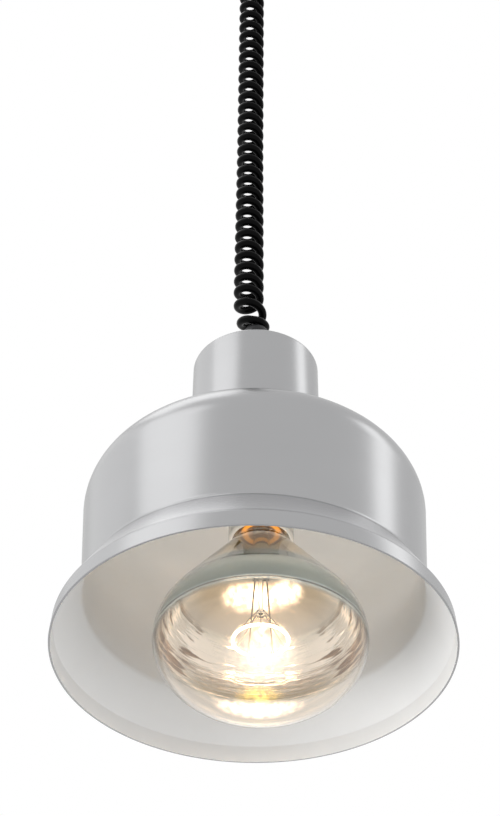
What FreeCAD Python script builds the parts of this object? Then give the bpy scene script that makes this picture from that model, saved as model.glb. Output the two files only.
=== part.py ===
import FreeCAD, Part
import math
import os

from FreeCAD import Vector

# Hanging infrared heat lamp on a rise-and-fall curly cord. Sizes are in millimetres.
# The origin is the middle of the bracket's ceiling face; +Z is up, so the lamp lies below zero.
# Levels named *_level are heights above the shade's rim.

nothing = 1e-6                  # a shorter edge is left out

X_AXIS = Vector(1, 0, 0)
Y_AXIS = Vector(0, 1, 0)
Z_AXIS = Vector(0, 0, 1)

# ---------------------------------------------------------------- driving dimensions
drop = 730.0                    # ceiling face to the shade's rim

# bell shade, one aluminium spinning
shade_wall = 1.2
rim_radius = 117.5
lip_height = 10.6
lip_top_radius = 116.5
lip_bend_radius = 2.5
drum_bottom_level = 35.2
drum_bottom_radius = 101.1
drum_bend_radius = 6.0
seat_margin = 0.8               # flat seat past the neck
seat_bend_radius = 3.0
drum_top_radius = 103.9         # where the drum's and the shoulder's lines would meet
shoulder_corner_radius = 31.9
shoulder_slope = 12.3           # degrees below level
shade_top_level = 136.0
shade_hole_radius = 27.0

# neck housing, a spun cup standing on the shade
neck_wall = 1.0
neck_height = 83.2
neck_bottom_radius = 40.4
neck_top_radius = 39.8
neck_edge_radius = 2.2
neck_flange_width = 11.0
neck_foot_bend_radius = 1.6

# screws
m3_radius = 1.5
m4_radius = 2.0
head_ratio = 1.8                # screw head radius over shank radius
head_height_ratio = 0.62        # screw head height over shank diameter
head_round_ratio = 0.45         # rounding of a head over its height
slot_width_ratio = 0.5          # driver slot over shank diameter
slot_depth_ratio = 0.45         # driver slot over head height
hole_clearance = 0.25
contact_gap = 0.05              # between faces that are clamped together
cut_past = 1.0                  # a cutting solid runs this far past the face it opens

# screws that join shade, neck and strap
shade_screw_count = 4
shade_screw_circle = 34.5
shade_nut_flat = 7.0
shade_nut_height = 3.2
shade_screw_spare = 2.0         # thread showing past the nut

# strap that carries the lampholder
strap_width = 16.0
strap_thickness = 2.0
strap_overhang = 5.5            # strap beyond its screws
holder_offset = 4.0             # the holder and bulb sit this far off the shade's axis, along X

# ceramic lampholder
holder_radius = 19.6
holder_bottom_level = 80.7
cap_in_holder = 8.25           # bulb cap's lower edge above the lampholder's mouth
holder_skirt_bore = 17.4
holder_skirt_depth = 9.0
holder_head_height = 12.0
holder_floor = 3.6
holder_screw_spacing = 21.0
holder_edge_radius = 1.5
shell_clearance = 0.4           # bulb cap to brass shell
shell_wall = 0.5
shell_seat = 0.1                # brass shell to ceramic
contact_clearance = 0.3         # bulb tip to its spring contact
contact_thickness = 0.5
contact_width = 6.0
contact_root_inset = 2.0        # leaf's fixed end inside the brass shell
contact_bend_reach = 2.0        # leaf leans down this far beside the bulb's tip
holder_screw_depth = 8.0
terminal_offset = 13.4
terminal_width = 6.0
terminal_height = 7.0
terminal_depth = 5.0
terminal_floor = 1.0            # brass left below a terminal's wire hole
joining_screw_circle = 16.2
joining_screw_depth = 8.0       # into the skirt
joining_head_sink = 2.5
joining_screw_turn = 45.0       # direction of the first joining screw

# bulb
bulb_radius = 62.5
bulb_dome_height = 43.2
glass_wall = 1.0
bulb_shoulder_radius = 35.0
bulb_cone_slope = 38.5          # degrees from the axis
bulb_throat_radius = 15.0
bulb_neck_radius = 16.4
bulb_neck_straight = 3.1
bulb_neck_step = 2.5            # height over which the neck narrows to the screw cap
bulb_neck_end_radius = 11.4     # glass inside the screw cap
bulb_neck_end_length = 10.0
cap_radius = 13.2
cap_length = 20.5
cap_wall = 0.4
cap_collar = 3.0
cap_thread_pitch = 3.63
cap_thread_depth = 0.9
cap_turns = 4
cap_top_radius = 10.5
insulator_height = 3.6
insulator_lip = 1.0             # glass left around the bulb's tip contact
tip_radius = 4.8
tip_height = 1.8
tip_edge_radius = 1.1
silver_gap = 0.05
silver_thickness = 0.2
silver_edge = 5.0               # silvering ends this far below the widest circle
silver_neck_end = 33.5          # and this far up the cone

# inside the bulb
stem_rise = 8.0                 # stem's flare inside the screw cap
stem_radius = 5.0
stem_length = 30.0
stem_flare_seat = 0.05          # flare to the inside of the glass neck
stem_flare_height = 6.0
pinch_width = 10.0
pinch_thickness = 4.0
pinch_height = 8.0
arbor_radius = 1.4
arbor_length = 24.0
arbor_button_radius = 2.6
arbor_button_height = 3.0
heat_disc_radius = 13.4
heat_disc_thickness = 0.4
heat_disc_below_cap = 3.2
filament_ring_radius = 16.0
filament_radius = 0.9
filament_level = 0.2            # above the bulb's widest circle
filament_gap_angle = 60.0       # the ring is open here, between the lead-in wires
filament_gap_turn = 90.0        # direction of that opening, from +X
lead_spacing = 7.0
lead_gap_angle = 3.5            # between a lead-in wire and the filament's end
lead_radius = 0.5
support_radius = 0.3
support_count = 5

# curly cord
wire_radius = 2.7
wire_end_gap = 0.9              # where the cord bends between two of its solids
coil_outer_radius = 10.0
coil_offset = 5.0               # the coil hangs this far beside the lamp's axis, towards -X
coil_foot_gap = 0.2             # coil to gland
coil_neck_length = 6.0          # straight wire between the swivel and the first turn
coil_cone_height = 7.0

# gland on the neck housing
gland_thread_radius = 5.0
gland_thread_length = 9.0
gland_washer_thickness = 0.8
gland_washer_radius = 10.0
gland_flat = 18.0
gland_flange_height = 6.0
gland_barrel_radius = 7.2
gland_barrel_height = 22.5
gland_cap_radius = 8.6
gland_cap_height = 29.8
gland_cap_wall = 1.2
gland_cap_top = 5.0
gland_cap_edge_radius = 5.6     # the cap's domed top
gland_cap_gap = 0.2             # cap's lower end above the hexagon
gland_nut_flat = 15.0
gland_nut_height = 4.0
seal_radius = 5.3
seal_height = 8.0
seal_seat_depth = 6.0
sheath_below_gland = 5.0        # sheathed end of the cord inside the neck

# cores of the cord
core_radius = 1.1
core_gap = 0.25
live_turn = 60.0                # direction of the live core in the sheath; neutral mirrors it
earth_turn = 180.0
bend_share = 0.45               # share of the shorter run that a bend takes

# cores in the ceiling cup
cup_core_lead = 4.0             # straight stretch out of the sheath
cup_core_entry = 4.0            # straight stretch below the terminal block
earth_loop_drop = 11.0          # loop of the earth core below its crimp
earth_loop_turn = 3.0           # and beside it

# cores in the neck housing
neck_core_lead = 10.0           # straight stretch out of the sheath
neck_core_spread = 26.0         # below the sheath's end, where the cores have parted
neck_core_bow = 3.0             # the cores bow this far to both sides of their terminals
neck_core_side = 6.0            # the live and neutral cores bow to one side, here off the axis
neck_core_turn = 14.0           # last bend above the entry
neck_core_entry = 8.0           # entry above the strap
neck_core_depth = 5.0           # core's end below the holder's top
neck_earth_bow = 4.0            # earth core past its crimp
neck_earth_turn = 15.0          # its last bends above the crimp
neck_earth_entry = 9.0

# ceiling bracket and cup
cup_radius = 45.0
cup_wall = 1.0
cup_depth = 45.0
cup_edge_radius = 6.0
ceiling_gap = 0.3               # cup edge to ceiling
bracket_width = 22.0
bracket_thickness = 2.0
bracket_screw_spacing = 60.0
bracket_hole_radius = 2.6
bracket_tab_depth = 16.0
cup_screw_level = 9.0           # below the ceiling
cup_screw_length = 9.0
tab_gap = 0.4                   # tab to cup

# ceiling grip with a swivelling boot
grip_thread_length = 11.0
grip_nut_height = 4.5
grip_nut_flat = 16.0
grip_nut_gap = 0.1
grip_radius = 12.0
grip_flange_height = 5.0
grip_rim_drop = 2.5             # body's end below the ball's middle
grip_cap_height = 7.0
grip_cap_edge_radius = 2.0
grip_mouth_radius = 7.4
ball_radius = 9.0
ball_clearance = 0.3
ball_below_cup = 13.0
boot_length = 22.0              # ball centre to the boot's lower end
boot_top_radius = 4.2
boot_end_radius = 3.6
sheath_above_grip = 5.0

# terminal block under the bracket
block_length = 20.0
block_width = 15.0
block_height = 12.0
block_way_spacing = 10.0
block_roof = 2.0
block_bore_radius = 1.7
block_foot = 1.0                # block to the bracket
earth_screw_offset = 19.0
tag_radius = 4.2
tag_thickness = 0.8
tag_reach = 6.6                 # ring's middle to the crimp's middle
crimp_radius = 1.8
crimp_length = 7.0

# ---------------------------------------------------------------- derived places
rim_z = -drop
shade_top_z = rim_z + shade_top_level
neck_top_z = shade_top_z + neck_height
holder_z = rim_z + holder_bottom_level
strap_top_z = shade_top_z - shade_wall - contact_gap
strap_bottom_z = strap_top_z - strap_thickness
holder_top_z = strap_bottom_z - contact_gap
gland_flange_z = neck_top_z + gland_washer_thickness
gland_cap_z = gland_flange_z + gland_flange_height + gland_cap_gap
gland_top_z = gland_cap_z + gland_cap_height
cup_bottom_z = -ceiling_gap - cup_depth
ball_z = cup_bottom_z - ball_below_cup
boot_end_z = ball_z - boot_length
coil_top_z = boot_end_z - wire_radius
coil_bottom_z = gland_top_z + coil_foot_gap
block_bottom_z = -bracket_thickness - block_foot - block_height
sheath_top_z = cup_bottom_z + grip_thread_length + sheath_above_grip


# ---------------------------------------------------------------- shape helpers
def cylinder(radius, bottom, top, x=0.0, y=0.0):
    return Part.makeCylinder(radius, top - bottom, Vector(x, y, bottom))


def ring(outer, inner, bottom, top, x=0.0, y=0.0):
    return cylinder(outer, bottom, top, x, y).cut(cylinder(inner, bottom - cut_past, top + cut_past, x, y))


def cone(bottom_radius, top_radius, bottom, top, x=0.0, y=0.0):
    return Part.makeCone(bottom_radius, top_radius, top - bottom, Vector(x, y, bottom))


def box(x_range, y_range, z_range):
    corner = Vector(x_range[0], y_range[0], z_range[0])
    size = [high - low for low, high in (x_range, y_range, z_range)]
    return Part.makeBox(size[0], size[1], size[2], corner)


def hexagon(flat, bottom, top, x=0.0, y=0.0):
    reach = flat / math.sqrt(3)
    turns = [math.radians(60 * side) for side in range(7)]
    corners = [Vector(x + reach * math.cos(t), y + reach * math.sin(t), bottom) for t in turns]
    return Part.Face(Part.makePolygon(corners)).extrude(Vector(0, 0, top - bottom))


def along(shape, axis, place):
    """Turn a shape that was made along +Z at the origin onto an axis, and move it to a place."""
    turned = shape.copy()
    turned.Placement = FreeCAD.Placement(place, FreeCAD.Rotation(Z_AXIS, axis))
    return turned


def lowest_edge(shape):
    return min(shape.Edges, key=lambda edge: (edge.BoundBox.ZMax, -edge.Length))


def highest_edge(shape):
    return max(shape.Edges, key=lambda edge: (edge.BoundBox.ZMin, edge.Length))


def screw(radius, length, axis, place):
    """A pan-head screw whose head sits on a place and whose shank runs along an axis."""
    head_radius = radius * head_ratio
    head_height = radius * 2 * head_height_ratio
    shank = cylinder(radius, 0, length)
    head = cylinder(head_radius, -head_height, 0)
    head = head.makeFillet(head_height * head_round_ratio, [lowest_edge(head)])
    half_slot = radius * slot_width_ratio
    slot = box((-half_slot, half_slot), (-head_radius, head_radius),
               (-head_height - cut_past, -head_height * (1 - slot_depth_ratio)))
    return along(head.cut(slot).fuse(shank).removeSplitter(), axis, place)


def line_meet(start_a, way_a, start_b, way_b):
    """Where two lines of an outline cross."""
    cross = way_a[0] * way_b[1] - way_a[1] * way_b[0]
    gap = (start_b[0] - start_a[0], start_b[1] - start_a[1])
    share = (gap[0] * way_b[1] - gap[1] * way_b[0]) / cross
    return (start_a[0] + way_a[0] * share, start_a[1] + way_a[1] * share)


def parallel(corners, distance):
    """The outline that runs beside another, on its right-hand side, at a distance."""
    lines = []
    for first, second in zip(corners, corners[1:]):
        way = (second[0] - first[0], second[1] - first[1])
        size = math.hypot(*way)
        side = (way[1] / size * distance, -way[0] / size * distance)
        lines.append(((first[0] + side[0], first[1] + side[1]), way))
    result = [lines[0][0]]
    for (start_a, way_a), (start_b, way_b) in zip(lines, lines[1:]):
        result.append(line_meet(start_a, way_a, start_b, way_b))
    last_start, last_way = lines[-1]
    result.append((last_start[0] + last_way[0], last_start[1] + last_way[1]))
    return result


def bends_right(before, corner, after):
    way_in = (corner[0] - before[0], corner[1] - before[1])
    way_out = (after[0] - corner[0], after[1] - corner[1])
    return way_in[0] * way_out[1] - way_in[1] * way_out[0] < 0


def straight(start, end):
    """One straight edge, or none where an arc already reaches the end."""
    return [Part.LineSegment(start, end).toShape()] if (end - start).Length > nothing else []


def rounded(corners, radii):
    """Edges of an outline in the XZ plane, each inner corner rounded by its radius."""
    edges = []
    start = Vector(corners[0][0], 0, corners[0][1])
    for before, corner, after, radius in zip(corners, corners[1:], corners[2:], radii):
        here = Vector(corner[0], 0, corner[1])
        way_in = (here - Vector(before[0], 0, before[1])).normalize()
        way_out = (Vector(after[0], 0, after[1]) - here).normalize()
        turn = way_in.getAngle(way_out)
        reach = radius * math.tan(turn / 2)
        arc_start = here - way_in * reach
        arc_end = here + way_out * reach
        inward = (way_out - way_in).normalize()
        middle = here + inward * (radius / math.cos(turn / 2) - radius)
        edges += straight(start, arc_start)
        edges.append(Part.Arc(arc_start, middle, arc_end).toShape())
        start = arc_end
    return edges + straight(start, Vector(corners[-1][0], 0, corners[-1][1]))


def spun(edges, x=0.0):
    """Revolve a closed outline in the XZ plane about a vertical axis at x = 0, then move it."""
    face = Part.Face(Part.Wire(Part.__sortEdges__(edges)))
    solid = face.revolve(Vector(0, 0, 0), Z_AXIS, 360)
    solid.translate(Vector(x, 0, 0))
    return solid


def spun_shell(corners, radii, wall):
    """A spun sheet whose outer outline is given from its top to its foot."""
    inner = parallel(corners, wall)
    inner_radii = []
    for before, corner, after, radius in zip(corners, corners[1:], corners[2:], radii):
        inner_radii.append(radius - wall if bends_right(before, corner, after) else radius + wall)
    outer_edges = rounded(corners, radii)
    inner_edges = rounded(inner, inner_radii)
    ends = []
    for index in (0, -1):
        first = Vector(corners[index][0], 0, corners[index][1])
        second = Vector(inner[index][0], 0, inner[index][1])
        ends.append(Part.LineSegment(first, second).toShape())
    return spun(outer_edges + inner_edges + ends)


def smooth_route(points):
    """Straight runs joined by tangent arcs, each as large as its two runs allow."""
    edges = []
    radii = []
    start = points[0]
    for before, corner, after in zip(points, points[1:], points[2:]):
        way_in = (corner - before).normalize()
        way_out = (after - corner).normalize()
        turn = way_in.getAngle(way_out)
        reach = bend_share * min((corner - before).Length, (after - corner).Length)
        radius = reach / math.tan(turn / 2)
        middle = corner + (way_out - way_in).normalize() * (radius / math.cos(turn / 2) - radius)
        edges.append(Part.LineSegment(start, corner - way_in * reach).toShape())
        edges.append(Part.Arc(corner - way_in * reach, middle, corner + way_out * reach).toShape())
        radii.append(radius)
        start = corner + way_out * reach
    edges.append(Part.LineSegment(start, points[-1]).toShape())
    return Part.Wire(edges), radii


def core(name, points, radius):
    """A round wire along a route. Its volume is compared with its section times its length."""
    path, radii = smooth_route(points)
    way = (points[1] - points[0]).normalize()
    section = Part.Wire(Part.Circle(points[0], way, radius).toShape())
    solid = path.makePipeShell([section], True, False)
    expected = math.pi * radius ** 2 * path.Length
    smallest = min(radii) if radii else 0.0
    print(f"{name}: length {path.Length:.1f}, volume ratio {solid.Volume / expected:.4f}, "
          f"smallest radius {smallest:.1f}")
    return solid


def core_place(turn, z):
    """Where one of the cord's three cores leaves the sheath; they lie in a triangle."""
    spread = (2 * core_radius + core_gap) / math.sqrt(3)
    return Vector(spread * math.cos(math.radians(turn)), spread * math.sin(math.radians(turn)), z)


def on_circle(count, radius, start=0.0):
    for index in range(count):
        turn = math.radians(start + 360.0 * index / count)
        yield math.cos(turn) * radius, math.sin(turn) * radius


nodes = {}


def keep(name, *shapes):
    nodes[name] = shapes[0] if len(shapes) == 1 else Part.makeCompound(list(shapes))


def screw_hole(radius, bottom, top, x=0.0, y=0.0):
    return cylinder(radius + hole_clearance, bottom - cut_past, top + cut_past, x, y)


def tapped_hole(radius, bottom, top, x=0.0, y=0.0):
    return cylinder(radius + contact_gap, bottom - cut_past, top + cut_past, x, y)


# ---------------------------------------------------------------- ceiling
cup_inner_radius = cup_radius - cup_wall
tab_corner_radius = cup_inner_radius - tab_gap
tab_x = math.sqrt(tab_corner_radius ** 2 - (bracket_width / 2) ** 2)


def make_bracket():
    bottom = -bracket_thickness
    half_width = bracket_width / 2
    strap = box((-tab_x, tab_x), (-half_width, half_width), (bottom, 0))
    for side in (-1, 1):
        inner_x = side * (tab_x - bracket_thickness)
        tab = box(sorted((inner_x, side * tab_x)), (-half_width, half_width),
                  (-bracket_tab_depth, bottom / 2))
        hole = along(tapped_hole(m4_radius, 0, bracket_thickness), X_AXIS * side,
                     Vector(inner_x, 0, -cup_screw_level))
        ceiling_hole = cylinder(bracket_hole_radius, bottom - cut_past, cut_past,
                                side * bracket_screw_spacing / 2)
        strap = strap.fuse(tab).cut(hole).cut(ceiling_hole)
    strap = strap.cut(tapped_hole(m4_radius, bottom, 0, -earth_screw_offset))
    strap = strap.cut(tapped_hole(m3_radius, bottom, 0))
    keep("ceiling_bracket", strap.removeSplitter())


def make_cup():
    corners = [(cup_radius, -ceiling_gap), (cup_radius, cup_bottom_z),
               (gland_thread_radius + hole_clearance, cup_bottom_z)]
    shell = spun_shell(corners, [cup_edge_radius], cup_wall)
    screws = []
    for side in (-1, 1):
        hole = along(screw_hole(m4_radius, 0, cup_wall), X_AXIS * side,
                     Vector(side * cup_inner_radius, 0, -cup_screw_level))
        shell = shell.cut(hole)
        screws.append(screw(m4_radius, cup_screw_length, X_AXIS * -side,
                            Vector(side * (cup_radius + contact_gap), 0, -cup_screw_level)))
    keep("ceiling_cup", shell)
    keep("cup_screws", *screws)


def make_terminal_block():
    top = -bracket_thickness - block_foot
    half_width = block_width / 2
    head_radius = m3_radius * head_ratio + hole_clearance
    head_depth = 2 * m3_radius * head_height_ratio + hole_clearance
    body = box((-half_width, half_width), (-block_length / 2, block_length / 2),
               (block_bottom_z, top))
    foot = cylinder(m3_radius * head_ratio, top, -bracket_thickness - contact_gap)
    body = body.fuse(foot).removeSplitter()
    body = body.cut(screw_hole(m3_radius, block_bottom_z, top + block_foot))
    body = body.cut(cylinder(head_radius, block_bottom_z - cut_past, block_bottom_z + head_depth))
    screw_z = (block_bottom_z + top) / 2
    screws = []
    for side in (-1, 1):
        way_y = side * block_way_spacing / 2
        body = body.cut(cylinder(block_bore_radius, block_bottom_z - cut_past, top - block_roof,
                                 0, way_y))
        access = along(cylinder(head_radius, 0, half_width), X_AXIS * -1,
                       Vector(-core_radius, way_y, screw_z))
        body = body.cut(access)
        place = Vector(-half_width + head_depth, way_y, screw_z)
        screws.append(screw(m3_radius, half_width - head_depth - core_radius - contact_gap,
                            X_AXIS, place))
    keep("terminal_block", body)
    keep("terminal_block_screws", *screws)
    head_z = block_bottom_z + head_depth
    keep("block_fixing_screw", screw(m3_radius, -head_z, Z_AXIS, Vector(0, 0, head_z)))


def ring_tag(base_z, up):
    """A ring terminal: up is 1 for a crimp that stands above the ring, -1 for one below."""
    low, high = sorted((base_z, base_z + up * tag_thickness))
    crimp_low, crimp_high = sorted((base_z, base_z + up * crimp_length))
    tag = cylinder(tag_radius, low, high)
    tag = tag.fuse(box((-crimp_radius, crimp_radius), (0, tag_reach), (low, high)))
    tag = tag.fuse(cylinder(crimp_radius, crimp_low, crimp_high, 0, tag_reach))
    tag = tag.cut(screw_hole(m4_radius, low, high))
    bore_low, bore_high = sorted((base_z + up * 2 * tag_thickness,
                                  base_z + up * (crimp_length + cut_past)))
    tag = tag.cut(cylinder(core_radius + contact_gap, bore_low, bore_high, 0, tag_reach))
    tag = tag.removeSplitter()
    tag.translate(Vector(-earth_screw_offset, 0, 0))
    return tag


def make_ceiling_earth():
    tag_z = -bracket_thickness - contact_gap
    head_z = tag_z - tag_thickness - contact_gap
    keep("bracket_earth_tag", ring_tag(tag_z, -1))
    keep("bracket_earth_screw", screw(m4_radius, -head_z, Z_AXIS,
                                      Vector(-earth_screw_offset, 0, head_z)))


def make_grip():
    thread_top = cup_bottom_z + grip_thread_length
    skirt_radius = ball_radius + ball_clearance + cup_wall
    body_top = cup_bottom_z - contact_gap
    body_bottom = ball_z - ball_clearance - grip_rim_drop
    socket = Part.makeSphere(ball_radius + ball_clearance, Vector(0, 0, ball_z))
    shoulder_z = body_top - grip_flange_height
    body = cylinder(grip_radius, shoulder_z, body_top)
    body = body.fuse(cylinder(skirt_radius, body_bottom, shoulder_z))
    body = body.fuse(cylinder(gland_thread_radius, body_top, thread_top)).removeSplitter()
    body = body.cut(socket).cut(cylinder(wire_radius + contact_gap, ball_z, thread_top + cut_past))
    keep("grip_body", body)

    cap_top = shoulder_z - contact_gap
    cap_floor = body_bottom - contact_gap
    cap_bottom = cap_floor - grip_cap_height
    cap = cylinder(grip_radius, cap_bottom, cap_top)
    cap = cap.makeFillet(grip_cap_edge_radius, [lowest_edge(cap)])
    cap = cap.cut(cylinder(skirt_radius + contact_gap, cap_floor, cap_top + cut_past)).cut(socket)
    cap = cap.cut(cylinder(grip_mouth_radius, cap_bottom - cut_past, ball_z))
    keep("grip_cap", cap)

    nut_bottom = cup_bottom_z + cup_wall + grip_nut_gap
    nut_top = nut_bottom + grip_nut_height
    nut = hexagon(grip_nut_flat, nut_bottom, nut_top)
    keep("grip_nut", nut.cut(tapped_hole(gland_thread_radius, nut_bottom, nut_top)))


def make_boot():
    ball = Part.makeSphere(ball_radius, Vector(0, 0, ball_z))
    stem = cone(boot_end_radius, boot_top_radius, boot_end_z, ball_z)
    boot = ball.fuse(stem).removeSplitter()
    bore = cylinder(wire_radius + contact_gap, boot_end_z - cut_past, ball_z + ball_radius + cut_past)
    keep("swivel_boot", boot.cut(bore))
    tail_top = ball_z + math.sqrt((ball_radius - wire_end_gap) ** 2 - wire_radius ** 2)
    keep("cord_tail", cylinder(wire_radius, coil_top_z + wire_end_gap, tail_top))


def make_ceiling_cores():
    end_bottom = ball_z + ball_radius + ball_clearance
    keep("cord_end_upper", cylinder(wire_radius, end_bottom, sheath_top_z))
    start_z = sheath_top_z + contact_gap
    way_y = block_way_spacing / 2
    way_z = (block_bottom_z - bracket_thickness - block_foot) / 2
    for name, side in (("ceiling_live_core", 1), ("ceiling_neutral_core", -1)):
        points = [core_place(side * live_turn, start_z),
                  core_place(side * live_turn, start_z + cup_core_lead),
                  Vector(0, side * way_y, block_bottom_z - cup_core_entry),
                  Vector(0, side * way_y, way_z)]
        keep(name, core(name, points, core_radius))
    tag_z = -bracket_thickness - contact_gap
    crimp_end_z = tag_z - 2 * tag_thickness - contact_gap
    loop_z = tag_z - crimp_length - earth_loop_drop
    points = [core_place(earth_turn, start_z),
              core_place(earth_turn, start_z + cup_core_lead),
              Vector(-earth_screw_offset / 2, tag_reach / 2, loop_z),
              Vector(earth_loop_turn - earth_screw_offset, tag_reach, loop_z),
              Vector(-earth_screw_offset, tag_reach, loop_z + earth_loop_drop / 2),
              Vector(-earth_screw_offset, tag_reach, crimp_end_z)]
    keep("ceiling_earth_core", core("ceiling_earth_core", points, core_radius))


# ---------------------------------------------------------------- cord
def make_coil():
    """The coil's outer shape: a tube, drawn in at its top to the straight cord."""
    neck_z = coil_top_z - coil_neck_length
    tube_z = neck_z - coil_cone_height
    wide = Part.Circle(Vector(-coil_offset, 0, tube_z), Z_AXIS, coil_outer_radius)
    narrow = Part.Circle(Vector(0, 0, neck_z), Z_AXIS, wire_radius)
    shoulder = Part.makeLoft([Part.Wire(wide.toShape()), Part.Wire(narrow.toShape())], True, True)
    coil = cylinder(coil_outer_radius, coil_bottom_z, tube_z, -coil_offset).fuse(shoulder)
    coil = coil.fuse(cylinder(wire_radius, neck_z, coil_top_z))
    keep("curly_cord", coil.removeSplitter())


# ---------------------------------------------------------------- gland
def make_gland():
    flange_top = gland_flange_z + gland_flange_height
    barrel_top = flange_top + gland_barrel_height
    seat_z = barrel_top - seal_seat_depth
    thread_z = neck_top_z - gland_thread_length
    body = hexagon(gland_flat, gland_flange_z, flange_top)
    body = body.fuse(cylinder(gland_barrel_radius, flange_top, barrel_top))
    body = body.fuse(cylinder(gland_thread_radius, thread_z, gland_flange_z)).removeSplitter()
    body = body.cut(cylinder(wire_radius + hole_clearance, thread_z - cut_past, barrel_top + cut_past))
    body = body.cut(cylinder(seal_radius + contact_gap, seat_z, barrel_top + cut_past))
    keep("gland_body", body)

    seal_z = seat_z + contact_gap
    keep("gland_seal", ring(seal_radius, wire_radius + contact_gap, seal_z, seal_z + seal_height))

    cap = cylinder(gland_cap_radius, gland_cap_z, gland_top_z)
    cap = cap.makeFillet(gland_cap_edge_radius, [highest_edge(cap)])
    cap = cap.cut(cylinder(gland_cap_radius - gland_cap_wall, gland_cap_z - cut_past,
                           gland_top_z - gland_cap_top))
    cap = cap.cut(cylinder(wire_radius + hole_clearance, gland_cap_z, gland_top_z + cut_past))
    keep("gland_cap", cap)

    keep("gland_washer", ring(gland_washer_radius, gland_thread_radius + contact_gap,
                              neck_top_z + contact_gap, gland_flange_z - contact_gap))
    nut_top = neck_top_z - neck_wall - contact_gap
    nut = hexagon(gland_nut_flat, nut_top - gland_nut_height, nut_top)
    keep("gland_nut", nut.cut(tapped_hole(gland_thread_radius, nut_top - gland_nut_height, nut_top)))
    keep("cord_end_lower", cylinder(wire_radius, thread_z - sheath_below_gland, gland_top_z))


# ---------------------------------------------------------------- shade and neck
neck_foot_z = shade_top_z + contact_gap
neck_flange_top_z = neck_foot_z + neck_wall


def shade_outline():
    fall = math.tan(math.radians(shoulder_slope))
    seat_radius = neck_bottom_radius + seat_margin
    corner_z = shade_top_z - (drum_top_radius - seat_radius) * fall
    return [(shade_hole_radius, shade_top_z),
            (seat_radius, shade_top_z),
            (drum_top_radius, corner_z),
            (drum_bottom_radius, rim_z + drum_bottom_level),
            (lip_top_radius, rim_z + lip_height),
            (rim_radius, rim_z)]


def make_shade():
    radii = [seat_bend_radius, shoulder_corner_radius, drum_bend_radius, lip_bend_radius]
    shade = spun_shell(shade_outline(), radii, shade_wall)
    for x, y in on_circle(shade_screw_count, shade_screw_circle):
        shade = shade.cut(screw_hole(m4_radius, shade_top_z - shade_wall, shade_top_z, x, y))
    keep("bell_shade", shade)


def make_neck():
    corners = [(gland_thread_radius + hole_clearance, neck_top_z), (neck_top_radius, neck_top_z),
               (neck_bottom_radius, neck_foot_z), (neck_bottom_radius - neck_flange_width, neck_foot_z)]
    neck = spun_shell(corners, [neck_edge_radius, neck_foot_bend_radius], neck_wall)
    for x, y in on_circle(shade_screw_count, shade_screw_circle):
        neck = neck.cut(screw_hole(m4_radius, neck_foot_z, neck_flange_top_z, x, y))
    keep("neck_housing", neck)


def make_strap():
    reach = shade_screw_circle + strap_overhang
    strap = box((-reach, reach), (-strap_width / 2, strap_width / 2), (strap_bottom_z, strap_top_z))
    ends = cylinder(reach, strap_bottom_z, strap_top_z)
    strap = strap.common(ends)
    for side in (-1, 1):
        strap = strap.cut(screw_hole(m4_radius, strap_bottom_z, strap_top_z, side * shade_screw_circle))
        x = holder_offset + side * holder_screw_spacing / 2
        strap = strap.cut(screw_hole(m4_radius, strap_bottom_z, strap_top_z, x))
    strap = strap.cut(tapped_hole(m4_radius, strap_bottom_z, strap_top_z, -earth_screw_offset))
    keep("holder_strap", strap.removeSplitter())


def make_shade_fixings():
    nut_z = neck_flange_top_z + contact_gap
    screw_top = nut_z + shade_nut_height + shade_screw_spare
    screws = []
    nuts = []
    for x, y in on_circle(shade_screw_count, shade_screw_circle):
        on_strap = abs(y) < strap_width / 2
        head_z = (strap_bottom_z if on_strap else shade_top_z - shade_wall) - contact_gap
        screws.append(screw(m4_radius, screw_top - head_z, Z_AXIS, Vector(x, y, head_z)))
        nut = hexagon(shade_nut_flat, nut_z, nut_z + shade_nut_height, x, y)
        nuts.append(nut.cut(tapped_hole(m4_radius, nut_z, nut_z + shade_nut_height, x, y)))
    keep("shade_screws", *screws)
    keep("shade_nuts", *nuts)


def make_head_earth():
    tag_z = strap_top_z + contact_gap
    head_z = tag_z + tag_thickness + contact_gap
    keep("strap_earth_tag", ring_tag(tag_z, 1))
    keep("strap_earth_screw", screw(m4_radius, head_z - strap_bottom_z, Z_AXIS * -1,
                                    Vector(-earth_screw_offset, 0, head_z)))


# ---------------------------------------------------------------- lampholder
head_bottom_z = holder_top_z - holder_head_height
holder_floor_z = head_bottom_z - contact_gap - holder_floor
shell_inner_radius = cap_radius + shell_clearance
shell_outer_radius = shell_inner_radius + shell_wall
shell_bore_radius = shell_outer_radius + shell_seat
shell_bottom_z = holder_z + holder_skirt_depth + contact_gap


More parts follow.
